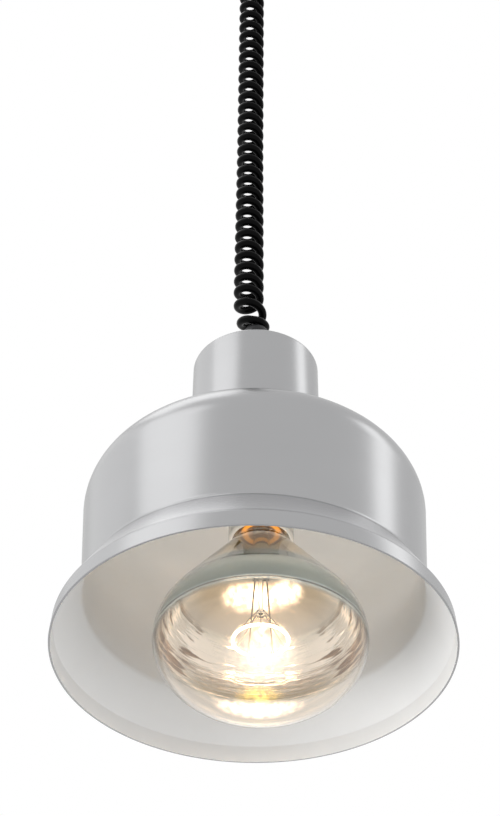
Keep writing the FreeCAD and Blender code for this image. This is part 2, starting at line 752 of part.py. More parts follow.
def make_lampholder():
    skirt_top = head_bottom_z - contact_gap
    skirt = cylinder(holder_radius, holder_z, skirt_top, holder_offset)
    skirt = skirt.makeFillet(holder_edge_radius, [lowest_edge(skirt)])
    skirt = skirt.cut(cylinder(holder_skirt_bore, holder_z - cut_past, holder_z + holder_skirt_depth,
                               holder_offset))
    skirt = skirt.cut(cylinder(shell_bore_radius, holder_z, holder_floor_z, holder_offset))
    head = cylinder(holder_radius, head_bottom_z, holder_top_z, holder_offset)
    head = head.makeFillet(holder_edge_radius, [highest_edge(head)])

    terminals = []
    terminal_screws = []
    pocket = terminal_width / 2 + hole_clearance
    for side in (-1, 1):
        near = terminal_offset - terminal_depth / 2
        far = terminal_offset + terminal_depth / 2
        pocket_y = sorted((side * (near - hole_clearance), side * (holder_radius + cut_past)))
        low = holder_top_z - terminal_height - hole_clearance
        head = head.cut(box((holder_offset - pocket, holder_offset + pocket), pocket_y,
                            (low, holder_top_z + cut_past)))
        block_low = low + contact_gap
        block = box((holder_offset - terminal_width / 2, holder_offset + terminal_width / 2),
                    sorted((side * near, side * far)), (block_low, block_low + terminal_height))
        block = block.cut(cylinder(core_radius + contact_gap, block_low + terminal_floor,
                                   holder_top_z + cut_past, holder_offset, side * terminal_offset))
        screw_z = block_low + terminal_height / 2
        hole = along(cylinder(m3_radius + contact_gap, 0, terminal_depth), Y_AXIS * -side,
                     Vector(holder_offset, side * (far + cut_past), screw_z))
        terminals.append(block.cut(hole))
        terminal_screws.append(screw(m3_radius, terminal_depth / 2 - core_radius - contact_gap * 2,
                                     Y_AXIS * -side, Vector(holder_offset, side * (far + contact_gap),
                                                            screw_z)))
    fixing = []
    for side in (-1, 1):
        x = holder_offset + side * holder_screw_spacing / 2
        head = head.cut(tapped_hole(m4_radius, holder_top_z - holder_screw_depth, holder_top_z, x))
        place = Vector(x, 0, strap_top_z + contact_gap)
        fixing.append(screw(m4_radius, strap_thickness + holder_screw_depth, Z_AXIS * -1, place))
    joining = []
    for x, y in on_circle(2, joining_screw_circle, joining_screw_turn):
        x += holder_offset
        head = head.cut(screw_hole(m3_radius, head_bottom_z, holder_top_z, x, y))
        sink = cylinder(m3_radius * head_ratio + hole_clearance, holder_top_z - joining_head_sink,
                        holder_top_z + cut_past, x, y)
        head = head.cut(sink)
        skirt = skirt.cut(tapped_hole(m3_radius, skirt_top - joining_screw_depth, skirt_top, x, y))
        place = Vector(x, y, holder_top_z - joining_head_sink + contact_gap)
        joining.append(screw(m3_radius, holder_head_height - joining_head_sink + joining_screw_depth,
                             Z_AXIS * -1, place))
    keep("lampholder_skirt", skirt)
    keep("lampholder_head", head)
    keep("holder_terminals", *terminals)
    keep("holder_terminal_screws", *terminal_screws)
    keep("holder_screws", *fixing)
    keep("holder_joining_screws", *joining)
    keep("screw_shell", ring(shell_outer_radius, shell_inner_radius, shell_bottom_z,
                             holder_floor_z - contact_gap, holder_offset))


def make_centre_contact():
    """A brass leaf that is fixed beside the cap's path and leans down to the bulb's tip."""
    tip_z = cap_z + cap_length + insulator_height + tip_height + 2 * contact_gap + contact_clearance
    root_z = holder_floor_z - contact_gap
    root_x = holder_offset + shell_inner_radius - contact_root_inset
    bend_x = holder_offset + tip_radius + contact_bend_reach
    end_x = holder_offset - tip_radius / 2
    top = [Vector(root_x, 0, root_z), Vector(bend_x, 0, root_z), Vector(holder_offset, 0, tip_z),
           Vector(end_x, 0, tip_z)]
    lift = Vector(0, 0, contact_thickness)
    top = [top[0], top[1], top[2] + lift, top[3] + lift]
    bottom = [point - lift for point in top]
    outline = Part.makePolygon(top + bottom[::-1] + top[:1])
    leaf = Part.Face(outline).extrude(Vector(0, contact_width, 0))
    leaf.translate(Vector(0, -contact_width / 2, 0))
    keep("centre_contact", leaf)


def make_head_cores():
    start_z = neck_top_z - gland_thread_length - sheath_below_gland - contact_gap
    terminal_z = holder_top_z - neck_core_depth
    entry_z = strap_top_z + neck_core_entry
    for name, side in (("head_live_core", 1), ("head_neutral_core", -1)):
        points = [core_place(side * live_turn, start_z),
                  core_place(side * live_turn, start_z - neck_core_lead),
                  Vector(holder_offset, side * (terminal_offset - neck_core_bow),
                         start_z - neck_core_spread),
                  Vector(neck_core_side, side * (terminal_offset + neck_core_bow),
                         entry_z + neck_core_turn),
                  Vector(holder_offset, side * terminal_offset, entry_z),
                  Vector(holder_offset, side * terminal_offset, terminal_z)]
        keep(name, core(name, points, core_radius))
    tag_z = strap_top_z + contact_gap
    floor_z = tag_z + 2 * tag_thickness + contact_gap
    crimp_z = tag_z + crimp_length
    points = [core_place(earth_turn, start_z),
              core_place(earth_turn, start_z - neck_core_lead),
              Vector(neck_earth_bow - earth_screw_offset, tag_reach / 2, start_z - neck_core_spread),
              Vector(-earth_screw_offset - neck_earth_bow, tag_reach,
                     crimp_z + neck_earth_entry + neck_earth_turn),
              Vector(-earth_screw_offset, tag_reach, crimp_z + neck_earth_entry),
              Vector(-earth_screw_offset, tag_reach, floor_z)]
    keep("head_earth_core", core("head_earth_core", points, core_radius))


# ---------------------------------------------------------------- bulb
cone_turn = math.radians(bulb_cone_slope)
cap_z = holder_z + cap_in_holder
neck_end_z = cap_z - bulb_neck_step
cone_head_z = neck_end_z - bulb_neck_straight - bulb_throat_radius * math.tan(cone_turn / 2)
cone_foot_z = cone_head_z - (bulb_radius - bulb_neck_radius) / math.tan(cone_turn)
wide_z = cone_foot_z - bulb_shoulder_radius * math.tan(cone_turn / 2)
glass_end_z = cap_z + bulb_neck_end_length


def bulb_body(inset):
    """The bulb's outline, drawn in by an inset, as a solid about the Z axis."""
    corners = [(bulb_radius, wide_z), (bulb_radius, cone_foot_z), (bulb_neck_radius, cone_head_z),
               (bulb_neck_radius, neck_end_z), (bulb_neck_end_radius, cap_z),
               (bulb_neck_end_radius, glass_end_z)]
    corners = parallel(corners, -inset)
    radii = [bulb_shoulder_radius - inset, bulb_throat_radius + inset]
    edges = rounded(corners[:4], radii)
    tail = [Vector(x, 0, z) for x, z in corners[3:]]
    top = Vector(0, 0, corners[-1][1])
    edges += [Part.LineSegment(a, b).toShape() for a, b in zip(tail, tail[1:] + [top])]
    dome_radius = bulb_radius - inset
    dome_height = bulb_dome_height - inset
    pole = Vector(0, 0, wide_z - dome_height)
    dome = Part.Ellipse(Vector(dome_radius, 0, wide_z), pole, Vector(0, 0, wide_z))
    edges.append(Part.ArcOfEllipse(dome, 0, math.pi / 2).toShape())
    edges.append(Part.LineSegment(pole, top).toShape())
    return spun(edges)


def make_bulb():
    glass = bulb_body(0.0).cut(bulb_body(glass_wall))
    open_end = cylinder(bulb_neck_end_radius - glass_wall, glass_end_z - 2 * glass_wall,
                        glass_end_z + cut_past)
    glass = glass.cut(open_end)
    silver_outer = bulb_body(glass_wall + silver_gap)
    silver_inner = bulb_body(glass_wall + silver_gap + silver_thickness)
    zone = cylinder(bulb_radius, wide_z - silver_edge, wide_z + silver_neck_end)
    silver = silver_outer.cut(silver_inner).common(zone)
    keep("bulb_glass", glass)
    keep("bulb_silvering", silver)


def thread_outline(radius, root_radius):
    """The screw cap's rolled thread, from its collar to its top, as (radius, height) points."""
    quarter = cap_thread_pitch / 4
    points = [(radius, cap_z), (radius, cap_z + cap_collar)]
    for turn in range(cap_turns):
        base = cap_z + cap_collar + turn * cap_thread_pitch
        points += [(root_radius, base + quarter), (root_radius, base + 2 * quarter),
                   (radius, base + 3 * quarter), (radius, base + cap_thread_pitch)]
    points.append((cap_top_radius - (cap_radius - radius), cap_z + cap_length))
    return points


def make_screw_cap():
    outer = thread_outline(cap_radius, cap_radius - cap_thread_depth)
    inner_radius = cap_radius - cap_wall
    inner = thread_outline(inner_radius, inner_radius - cap_thread_depth)
    loop = [Vector(r, 0, z) for r, z in outer + inner[::-1]]
    cap = Part.Face(Part.makePolygon(loop + loop[:1])).revolve(Vector(0, 0, 0), Z_AXIS, 360)
    cap_top = cap_z + cap_length
    lower = cap_top + contact_gap
    insulator = cone(cap_top_radius, tip_radius + insulator_lip, lower, lower + insulator_height)
    tip_z = lower + insulator_height + contact_gap
    tip = cylinder(tip_radius, tip_z, tip_z + tip_height)
    tip = tip.makeFillet(tip_edge_radius, [highest_edge(tip)])
    keep("bulb_screw_cap", cap)
    keep("bulb_insulator", insulator)
    keep("bulb_tip_contact", tip)


def rod(start, end, radius):
    way = end - start
    return Part.makeCylinder(radius, way.Length, start, way)


def make_bulb_inside():
    flare_top = cap_z + stem_rise
    tube_top = flare_top - stem_flare_height
    pinch_top = tube_top - stem_length
    pinch_bottom = pinch_top - pinch_height
    arbor_bottom = pinch_bottom - arbor_length
    flare_radius = bulb_neck_end_radius - glass_wall - stem_flare_seat
    stem = cone(stem_radius, flare_radius, tube_top, flare_top)
    stem = stem.fuse(cylinder(stem_radius, pinch_top, tube_top))
    stem = stem.fuse(box((-pinch_width / 2, pinch_width / 2), (-pinch_thickness / 2, pinch_thickness / 2),
                         (pinch_bottom, pinch_top)))
    stem = stem.fuse(cylinder(arbor_radius, arbor_bottom, pinch_bottom))
    stem = stem.fuse(cylinder(arbor_button_radius, arbor_bottom - arbor_button_height, arbor_bottom))
    keep("bulb_stem", stem.removeSplitter())

    disc_z = cap_z - heat_disc_below_cap
    keep("bulb_heat_disc", ring(heat_disc_radius, stem_radius + contact_gap, disc_z,
                                disc_z + heat_disc_thickness))

    ring_z = wide_z + filament_level
    half_gap = filament_gap_angle / 2
    start = filament_gap_turn + half_gap
    section = Part.Face(Part.Wire(Part.Circle(Vector(filament_ring_radius, 0, ring_z), Y_AXIS,
                                              filament_radius).toShape()))
    filament = section.revolve(Vector(0, 0, 0), Z_AXIS, 360 - filament_gap_angle)
    filament.rotate(Vector(0, 0, 0), Z_AXIS, start)
    keep("bulb_filament", filament)

    leads = []
    for side in (-1, 1):
        turn = math.radians(filament_gap_turn - side * (half_gap - lead_gap_angle))
        foot = Vector(filament_ring_radius * math.cos(turn), filament_ring_radius * math.sin(turn), ring_z)
        top = Vector(side * lead_spacing / 2, 0, pinch_bottom - lead_radius)
        leads.append(rod(foot, top, lead_radius))
    keep("bulb_lead_wires", *leads)

    supports = []
    button_z = arbor_bottom - arbor_button_height / 2
    for index in range(support_count):
        turn = math.radians(start + (360 - filament_gap_angle) * (index + 0.5) / support_count)
        way = Vector(math.cos(turn), math.sin(turn), 0)
        hub = way * (arbor_button_radius + support_radius) + Vector(0, 0, button_z)
        hold = way * filament_ring_radius + Vector(0, 0, ring_z)
        reach = hold - hub
        hold = hub + reach * (1 - (filament_radius + contact_gap) / reach.Length)
        supports.append(rod(hub, hold, support_radius))
    keep("bulb_support_wires", *supports)


def make_bulb_place():
    """The bulb is made about the Z axis, then moved to the holder's axis."""
    for name, shape in nodes.items():
        if name.startswith("bulb_"):
            shape.translate(Vector(holder_offset, 0, 0))


# ---------------------------------------------------------------- build and export
def build():
    make_bracket()
    make_cup()
    make_terminal_block()
    make_ceiling_earth()
    make_grip()
    make_boot()
    make_ceiling_cores()
    make_coil()
    make_gland()
    make_neck()
    make_shade()
    make_strap()
    make_shade_fixings()
    make_head_earth()
    make_lampholder()
    make_centre_contact()
    make_head_cores()
    make_bulb()
    make_screw_cap()
    make_bulb_inside()
    make_bulb_place()


build()
os.makedirs("parts", exist_ok=True)
for node_name, node_shape in nodes.items():
    node_shape.exportStep(f"parts/{node_name}.step")
    print(f"{node_name}: {len(node_shape.Solids)} solids, valid {node_shape.isValid()}, "
          f"volume {node_shape.Volume:.1f}")
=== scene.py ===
import math

import bmesh
import bpy
import numpy as np
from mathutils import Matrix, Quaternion, Vector


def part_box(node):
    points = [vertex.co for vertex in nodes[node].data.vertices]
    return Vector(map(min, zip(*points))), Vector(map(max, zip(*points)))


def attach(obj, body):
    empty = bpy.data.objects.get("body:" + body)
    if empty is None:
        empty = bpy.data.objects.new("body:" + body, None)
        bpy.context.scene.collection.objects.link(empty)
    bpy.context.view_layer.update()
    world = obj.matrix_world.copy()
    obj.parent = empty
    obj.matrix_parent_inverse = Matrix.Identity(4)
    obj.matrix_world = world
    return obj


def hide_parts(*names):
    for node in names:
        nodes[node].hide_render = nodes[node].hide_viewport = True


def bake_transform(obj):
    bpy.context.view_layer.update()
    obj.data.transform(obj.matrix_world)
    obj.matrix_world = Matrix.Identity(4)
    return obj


# Hanging infrared heat lamp: a spun aluminium bell shade and neck, a reflector bulb in a
# ceramic holder, and a curly cord from a ceiling cup. Lengths are in metres, +Z is up, and
# the origin is the middle of the ceiling bracket's upper face.

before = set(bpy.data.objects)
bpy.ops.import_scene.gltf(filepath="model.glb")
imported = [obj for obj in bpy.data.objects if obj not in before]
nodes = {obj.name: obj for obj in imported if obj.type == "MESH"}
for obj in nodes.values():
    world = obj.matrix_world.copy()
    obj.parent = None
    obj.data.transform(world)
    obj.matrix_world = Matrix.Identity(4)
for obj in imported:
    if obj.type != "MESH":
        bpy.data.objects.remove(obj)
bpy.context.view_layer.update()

MM = 0.001
FULL_TURN = 2 * math.pi

# ---------------------------------------------------------------- places from the frame
neck_foot_level = 136.0 * MM     # the neck housing's foot above the shade's rim
rim_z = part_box("neck_housing")[0].z - neck_foot_level
shade_top_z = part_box("bell_shade")[1].z
neck_top_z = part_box("neck_housing")[1].z
cord_top_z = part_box("curly_cord")[1].z
gland_top_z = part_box("gland_cap")[1].z
cap_low, cap_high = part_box("bulb_screw_cap")
bulb_axis_x = (cap_low.x + cap_high.x) / 2
cap_z = cap_low.z

# ---------------------------------------------------------------- sizes
# bell shade
shade_wall = 1.2 * MM
shade_hole_radius = 27.0 * MM
neck_seat_radius = 41.2 * MM
drum_top_radius = 103.9 * MM
drum_bottom_radius = 101.1 * MM
drum_bottom_level = 35.2 * MM
lip_top_radius = 116.5 * MM
lip_height = 10.6 * MM
rim_radius = 117.5 * MM
shoulder_slope = math.radians(12.3)
shade_bends = (3.0 * MM, 31.9 * MM, 6.0 * MM, 2.5 * MM)

# neck housing
neck_wall = 1.0 * MM
neck_hole_radius = 5.25 * MM
neck_top_radius = 39.8 * MM
neck_bottom_radius = 40.4 * MM
neck_flange_radius = 29.4 * MM
neck_bends = (2.2 * MM, 1.6 * MM)

# bulb
bulb_radius = 62.5 * MM
bulb_dome_height = 43.2 * MM
glass_wall = 1.0 * MM
bulb_shoulder_radius = 35.0 * MM
bulb_cone_slope = math.radians(38.5)
bulb_throat_radius = 15.0 * MM
bulb_neck_radius = 16.4 * MM
bulb_neck_straight = 3.1 * MM
bulb_neck_step = 2.5 * MM
bulb_neck_end_radius = 11.4 * MM
bulb_neck_end_length = 10.0 * MM
silver_edge = 5.0 * MM           # the mirror coat ends this far below the widest circle
silver_neck_end = 33.5 * MM      # and this far up the cone
silver_thickness = 0.2 * MM
silver_gap = 0.05 * MM

# filament, a coil bent into an open ring on its supports
filament_ring_radius = 16.0 * MM
filament_coil_radius = 0.78 * MM
filament_wire_radius = 0.11 * MM
filament_coil_pitch = 0.55 * MM
filament_coil_points = 12
filament_wire_sides = 6
filament_gap = math.radians(60)
filament_gap_side = math.radians(90)
filament_level = 0.2 * MM

# curly cord
wire_radius = 2.7 * MM
coil_turns = 31.5
coil_points_per_turn = 16
cord_ring_points = 20
cord_spline_steps = 3

# where finishes change: a painted highlight on the flare fades out at the drum and at the lip, painted shade
# darkens and warms the paint between two levels, the mirror coat thins out and the glass browns, and the heat
# disc has rings, one of them a painted highlight
flare_top_fade = 4 * MM
flare_lip_fade = 3 * MM
paint_shade_from_rim = 25 * MM
paint_shade_to_top = 10 * MM
silver_fade = 8 * MM
browning_height = 22 * MM
disc_highlight_radii = (7.5 * MM, 9.0 * MM)
disc_dark_radii = (11.0 * MM, 12.0 * MM)

# how finely the filament's heat varies and how brightly it shines, and the earth core's stripes
tungsten_scale = 260.0
tungsten_strength = 400.0
stripe_scale = 130.0
stripe_edge = (0.45, 0.55)

# studio: how strongly the world lights the lamp, and soft lights as name, azimuth, elevation, distance,
# size and radiance; those from below aren't seen in what shines
lamp_centre = Vector((0.0, 0.0, -0.65))
world_light = 0.76
softboxes = (("left_softbox", -58, 40, 1.6, (1.0, 0.86), 0.95),
             ("left_panel", -112, 36, 1.7, (1.3, 1.2), 0.38),
             ("top_panel", -105, 72, 1.5, (0.7, 0.7), 1.2),
             ("right_softbox", 92, 40, 1.6, (0.42, 0.86), 1.35))
low_fills = (("low_fill", 14, -52, 1.2, (1.0, 1.0), 0.12),
             ("low_left_fill", -84, -22, 1.2, (0.8, 0.8), 3.7),
             ("low_right_fill", 88, -27, 1.2, (0.8, 0.8), 0.8))
# what the bulb itself sheds, as radius, power and colour; the second is set off from the cap's foot
filament_glow = (12 * MM, 0.07, (1.0, 0.94, 0.86))
neck_glow = (8 * MM, 0.009, (1.0, 0.55, 0.25))
neck_glow_offset = (-10 * MM, 34 * MM, -10 * MM)
floor_z = -1.8
floor_reach = 6.0
floor_whitens = (0.5, 1.6)       # from this far from the lamp's axis to this far

# painted glare: the hot filament's glare painted as emission on the glass and on the mirror coat: place from
# the filament's middle and half size in mm, colour, strength, and how broken up it is
hot, yellow = (1.0, 0.82, 0.62), (1.0, 0.72, 0.12)
glass_glares = (((-5, 30, 53), (38, 14, 11), hot, 1.7, 0.6),
                ((18, 23, 54), (13, 11, 11), hot, 1.4, 0.7),
                ((-1, 61, -7), (34, 16, 12), hot, 1.5, 0.6),
                ((2, 44, 37), (18, 12, 10), hot, 0.45, 0.9),
                ((0, 38, 42), (46, 36, 32), (1.0, 0.88, 0.80), 0.12, 0.1),
                ((2, -36, -35), (28, 23, 19), hot, 0.26, 0.3))
coat_glares = (((3, 50, 25), (23, 14, 13), hot, 0.55, 0.9),
               ((-1, 62, 3), (18, 10, 9), yellow, 0.9, 0.4))

# how fine the spun pieces are
around_steps = 192
arc_steps = 12
dome_steps = 40
on_axis = 1e-7                   # a point nearer the axis than this is a single corner
crease_angle = math.radians(35)


# ---------------------------------------------------------------- mesh helpers
def new_object(name, mesh):
    piece = bpy.data.objects.new(name, mesh)
    bpy.context.scene.collection.objects.link(piece)
    return piece


def rounded(corners, radii):
    """An outline of (radius, height) points whose inner corners are rounded."""
    points = [Vector(corners[0])]
    for before, corner, after, radius in zip(corners, corners[1:], corners[2:], radii):
        here = Vector(corner)
        way_in = (here - Vector(before)).normalized()
        way_out = (Vector(after) - here).normalized()
        turn = way_in.angle(way_out)
        reach = radius * math.tan(turn / 2)
        centre = here + (way_out - way_in).normalized() * (radius / math.cos(turn / 2))
        arm = here - way_in * reach - centre
        side = math.copysign(1.0, way_in.cross(way_out))
        for step in range(arc_steps + 1):
            angle = side * turn * step / arc_steps
            points.append(centre + Vector((arm.x * math.cos(angle) - arm.y * math.sin(angle),
                                           arm.x * math.sin(angle) + arm.y * math.cos(angle))))
    points.append(Vector(corners[-1]))
    return points


def beside(corners, distance):
    """The corners of the outline that runs beside another, on its right-hand side."""
    lines = []
    for first, second in zip(corners, corners[1:]):
        way = (Vector(second) - Vector(first)).normalized()
        lines.append((Vector(first) + Vector((way.y, -way.x)) * distance, way))
    moved = [lines[0][0]]
    for (start_a, way_a), (start_b, way_b) in zip(lines, lines[1:]):
        share = (start_b - start_a).cross(way_b) / way_a.cross(way_b)
        moved.append(start_a + way_a * share)
    end = Vector(corners[-1])
    last_start, last_way = lines[-1]
    moved.append(last_start + last_way * (end - last_start).dot(last_way))
    return moved


def spun(name, outline, axis_x=0.0, skin_of=None):
    """A closed solid of revolution from a closed outline of (radius, height) points.

    skin_of gives each stretch of the outline its material's number."""
    mesh = bpy.data.meshes.new(name)
    work = bmesh.new()
    rows = []
    for radius, height in outline:
        if radius < on_axis:
            rows.append([work.verts.new((axis_x, 0, height))])
            continue
        rows.append([work.verts.new((axis_x + radius * math.cos(FULL_TURN * step / around_steps),
                                     radius * math.sin(FULL_TURN * step / around_steps), height))
                     for step in range(around_steps)])
    for index, (row, following) in enumerate(zip(rows, rows[1:] + rows[:1])):
        if len(row) == 1 and len(following) == 1:
            continue
        for step in range(around_steps):
            beyond = (step + 1) % around_steps
            if len(row) == 1:
                corners = (row[0], following[step], following[beyond])
            elif len(following) == 1:
                corners = (row[step], following[0], row[beyond])
            else:
                corners = (row[step], following[step], following[beyond], row[beyond])
            face = work.faces.new(corners)
            face.smooth = True
            face.material_index = skin_of(index) if skin_of else 0
    bmesh.ops.recalc_face_normals(work, faces=work.faces)
    work.to_mesh(mesh)
    work.free()
    return new_object(name, mesh)


def sharp_ends(piece):
    """Mark the edges that turn sharply, so that the shading stays crisp there."""
    mesh = piece.data
    work = bmesh.new()
    work.from_mesh(mesh)
    for edge in work.edges:
        edge.smooth = not (edge.is_manifold and edge.calc_face_angle() > crease_angle)
    work.to_mesh(mesh)
    work.free()


def tube(name, path, radius, ring_points):
    """A round tube along a path, with closed ends, and the path's index for each of its points."""
    path = [Vector(point) for point in path]
    ways = [(after - before).normalized()
            for before, after in zip([path[0]] + path[:-1], path[1:] + [path[-1]])]
    side = ways[0].orthogonal().normalized()
    work = bmesh.new()
    mesh = bpy.data.meshes.new(name)
    rings = []
    for centre, way in zip(path, ways):
        side = (side - way * side.dot(way)).normalized()
        other = way.cross(side)
        rings.append([work.verts.new(centre + (side * math.cos(FULL_TURN * step / ring_points)
                                               + other * math.sin(FULL_TURN * step / ring_points)) * radius)
                      for step in range(ring_points)])
    for ring, following in zip(rings, rings[1:]):
        for step in range(ring_points):
            beyond = (step + 1) % ring_points
            work.faces.new((ring[step], ring[beyond], following[beyond], following[step])).smooth = True
    work.faces.new(rings[0][::-1])
    work.faces.new(rings[-1])
    bmesh.ops.recalc_face_normals(work, faces=work.faces)
    work.to_mesh(mesh)
    work.free()
    return new_object(name, mesh)


# ---------------------------------------------------------------- camera
camera_place = Vector((0.0, -0.9863, -1.4224))
camera_aim = Vector((-0.0034, 0.0, -0.5427))
camera_lens = 92.3
camera_roll = math.radians(0.55)


def make_camera():
    camera = bpy.data.objects.new("camera", bpy.data.cameras.new("camera"))
    bpy.context.scene.collection.objects.link(camera)
    camera.data.lens = camera_lens
    camera.location = camera_place
    way = camera_aim - camera_place
    camera.rotation_mode = "QUATERNION"
    camera.rotation_quaternion = Quaternion(way, -camera_roll) @ way.to_track_quat("-Z", "Y")
    bpy.context.scene.camera = camera


# ---------------------------------------------------------------- curly cord
# Turns are counted upwards from the last one in front, just above the gland.
coil_first_level = 266.4 * MM
coil_pitch = 10.28 * MM
coil_pitch_growth = 0.0321 * MM
coil_sag = 9.4 * MM              # the lowest turns hang this far below an even coil
coil_sag_turns = 2.2
coil_radius_at = ((0.0, 7.9), (1.5, 7.4), (4.0, 7.35), (15.0, 6.75), (28.0, 6.68))
coil_centre_at = ((0.0, -2.2), (0.5, -2.4), (1.0, -4.4), (1.4, -5.0))

# the cord above the coil, and where it lies on the gland's top and goes in, as (x, y, z)
# in millimetres from the coil's top and from the gland's top
cord_head = ((0.0, 0.0, 0.8), (0.0, 0.0, -3.0), (0.0, 0.0, -7.2), (0.1, 0.2, -11.4),
             (0.7, 1.7, -15.6), (-0.2, 4.8, -20.0))
cord_foot = ((0.9, -7.3, 1.3), (3.5, -5.6, 1.6), (5.5, -3.0, 2.1), (6.4, 0.0, 2.6),
             (6.0, 3.0, 3.5), (4.1, 4.7, 4.9), (1.8, 3.9, 6.2), (0.4, 1.7, 5.8),
             (0.0, 0.3, 3.2), (0.0, 0.0, 0.4), (0.0, 0.0, -1.6))


def coil_point(turn):
    """The wire's middle, that many turns above the last one in front."""
    sag = coil_sag * max(0.0, 1 - turn / coil_sag_turns) ** 2
    level = coil_first_level + turn * (coil_pitch + turn * coil_pitch_growth) - sag
    radius = np.interp(turn, *zip(*coil_radius_at)) * MM
    middle = np.interp(turn, *zip(*coil_centre_at)) * MM
    # a spline of this order runs inside its points
    radius *= 4 / (3 + math.cos(FULL_TURN / coil_points_per_turn))
    angle = -math.pi / 2 - FULL_TURN * turn
    return Vector((middle + radius * math.cos(angle), radius * math.sin(angle), rim_z + level))


def cord_route():
    head = [Vector(point) * MM + Vector((0, 0, cord_top_z)) for point in cord_head]
    foot = [Vector(point) * MM + Vector((0, 0, gland_top_z)) for point in cord_foot]
    steps = round(coil_turns * coil_points_per_turn)
    turns = [coil_point(step / coil_points_per_turn) for step in range(steps, -1, -1)]
    return head + turns + foot


def spline_points(route, resolution):
    """The points of the smooth line that the route's points guide."""
    curve = bpy.data.curves.new("cord_line", "CURVE")
    curve.dimensions = "3D"
    spline = curve.splines.new("NURBS")
    spline.points.add(len(route) - 1)
    for place, point in zip(spline.points, route):
        place.co = (*point, 1.0)
    spline.order_u = 3
    spline.use_endpoint_u = True
    spline.resolution_u = resolution
    line = bpy.data.objects.new("cord_line", curve)
    bpy.context.scene.collection.objects.link(line)
    graph = bpy.context.evaluated_depsgraph_get()
    mesh = bpy.data.meshes.new_from_object(line.evaluated_get(graph))
    points = [vertex.co.copy() for vertex in mesh.vertices]
    bpy.data.objects.remove(line)
    bpy.data.meshes.remove(mesh)
    return points


def make_cord():
    path = spline_points(cord_route(), cord_spline_steps)
    cord = tube("curly_cord_wire", path, wire_radius, cord_ring_points)
    length = sum((b - a).length for a, b in zip(path, path[1:]))
    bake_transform(cord)
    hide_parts("curly_cord")
    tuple(path[0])
    return cord


# ---------------------------------------------------------------- spun pieces
def wall_outline(corners, bends, wall):
    """A sheet's closed outline: outer side down, then inner side back up."""
    inner = beside(corners, wall)
    ways = [Vector(b) - Vector(a) for a, b in zip(corners, corners[1:])]
    inner_bends = [bend - wall if before.cross(after) < 0 else bend + wall
                   for bend, before, after in zip(bends, ways, ways[1:])]
    outer_side = rounded(corners, bends)
    inner_side = rounded(inner, inner_bends)
    return outer_side, inner_side


def make_sheet(name, corners, bends, wall, body, node, skins):
    outer_side, inner_side = wall_outline(corners, bends, wall)
    outline = outer_side + inner_side[::-1]
    outer_count = len(outer_side)

    def skin_of(index):
        return 0 if index < outer_count or index == len(outline) - 1 else 1

    piece = spun(name, outline, skin_of=skin_of)
    sharp_ends(piece)
    for skin in skins:
        piece.data.materials.append(skin)
    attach(piece, body)
    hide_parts(node)


def make_shade(outside, inside):
    fall = math.tan(shoulder_slope)
    corners = [(shade_hole_radius, shade_top_z),
               (neck_seat_radius, shade_top_z),
               (drum_top_radius, shade_top_z - (drum_top_radius - neck_seat_radius) * fall),
               (drum_bottom_radius, rim_z + drum_bottom_level),
               (lip_top_radius, rim_z + lip_height),
               (rim_radius, rim_z)]
    make_sheet("bell_shade_spun", corners, shade_bends, shade_wall, "lamp_head", "bell_shade",
               (outside, inside))


def make_neck(outside, inside):
    foot_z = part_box("neck_housing")[0].z
    corners = [(neck_hole_radius, neck_top_z), (neck_top_radius, neck_top_z),
               (neck_bottom_radius, foot_z), (neck_flange_radius, foot_z)]
    make_sheet("neck_housing_spun", corners, neck_bends, neck_wall, "lamp_head", "neck_housing",
               (outside, inside))


# ---------------------------------------------------------------- bulb
neck_end_z = cap_z - bulb_neck_step
cone_head_z = neck_end_z - bulb_neck_straight - bulb_throat_radius * math.tan(bulb_cone_slope / 2)
cone_foot_z = cone_head_z - (bulb_radius - bulb_neck_radius) / math.tan(bulb_cone_slope)
wide_z = cone_foot_z - bulb_shoulder_radius * math.tan(bulb_cone_slope / 2)
filament_middle = Vector((bulb_axis_x, 0.0, wide_z + filament_level))


def bulb_side(inset):
    """The bulb's outline from the front pole to the neck's end, drawn in by an inset."""
    corners = [(bulb_radius, wide_z), (bulb_radius, cone_foot_z), (bulb_neck_radius, cone_head_z),
               (bulb_neck_radius, neck_end_z), (bulb_neck_end_radius, cap_z),
               (bulb_neck_end_radius, cap_z + bulb_neck_end_length)]
    corners = beside(corners, -inset)
    bends = [bulb_shoulder_radius - inset, bulb_throat_radius + inset]
    upper = rounded(corners[:4], bends) + corners[4:]
    dome = []
    for step in range(dome_steps):
        angle = math.pi / 2 * step / dome_steps
        dome.append(Vector(((bulb_radius - inset) * math.sin(angle),
                            wide_z - (bulb_dome_height - inset) * math.cos(angle))))
    return dome + upper


def make_bulb_glass(glass):
    piece = spun("bulb_envelope", bulb_side(0.0) + bulb_side(glass_wall)[::-1], bulb_axis_x)
    piece.data.materials.append(glass)
    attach(piece, "bulb")
    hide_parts("bulb_glass")


def make_silvering(front, back):
    """The mirror coat inside the glass, from above the widest circle to the throat."""
    low = wide_z - silver_edge
    high = wide_z + silver_neck_end

    def coat_side(inset):
        side = bulb_side(inset)
        kept = [point for point in side if low < point.y < high and point.x > bulb_neck_end_radius]
        before = side[side.index(kept[0]) - 1]
        after = side[side.index(kept[-1]) + 1]
        first = before.lerp(kept[0], (low - before.y) / (kept[0].y - before.y))
        last = kept[-1].lerp(after, (high - kept[-1].y) / (after.y - kept[-1].y))
        return [first] + kept + [last]

    outer_side = coat_side(glass_wall + silver_gap)
    inner_side = coat_side(glass_wall + silver_gap + silver_thickness)
    outline = outer_side + inner_side[::-1]

    def skin_of(index):
        return 1 if index < len(outer_side) - 1 else 0

    piece = spun("bulb_mirror", outline, bulb_axis_x, skin_of)
    sharp_ends(piece)
    piece.data.materials.append(front)
    piece.data.materials.append(back)
    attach(piece, "bulb")
    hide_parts("bulb_silvering")


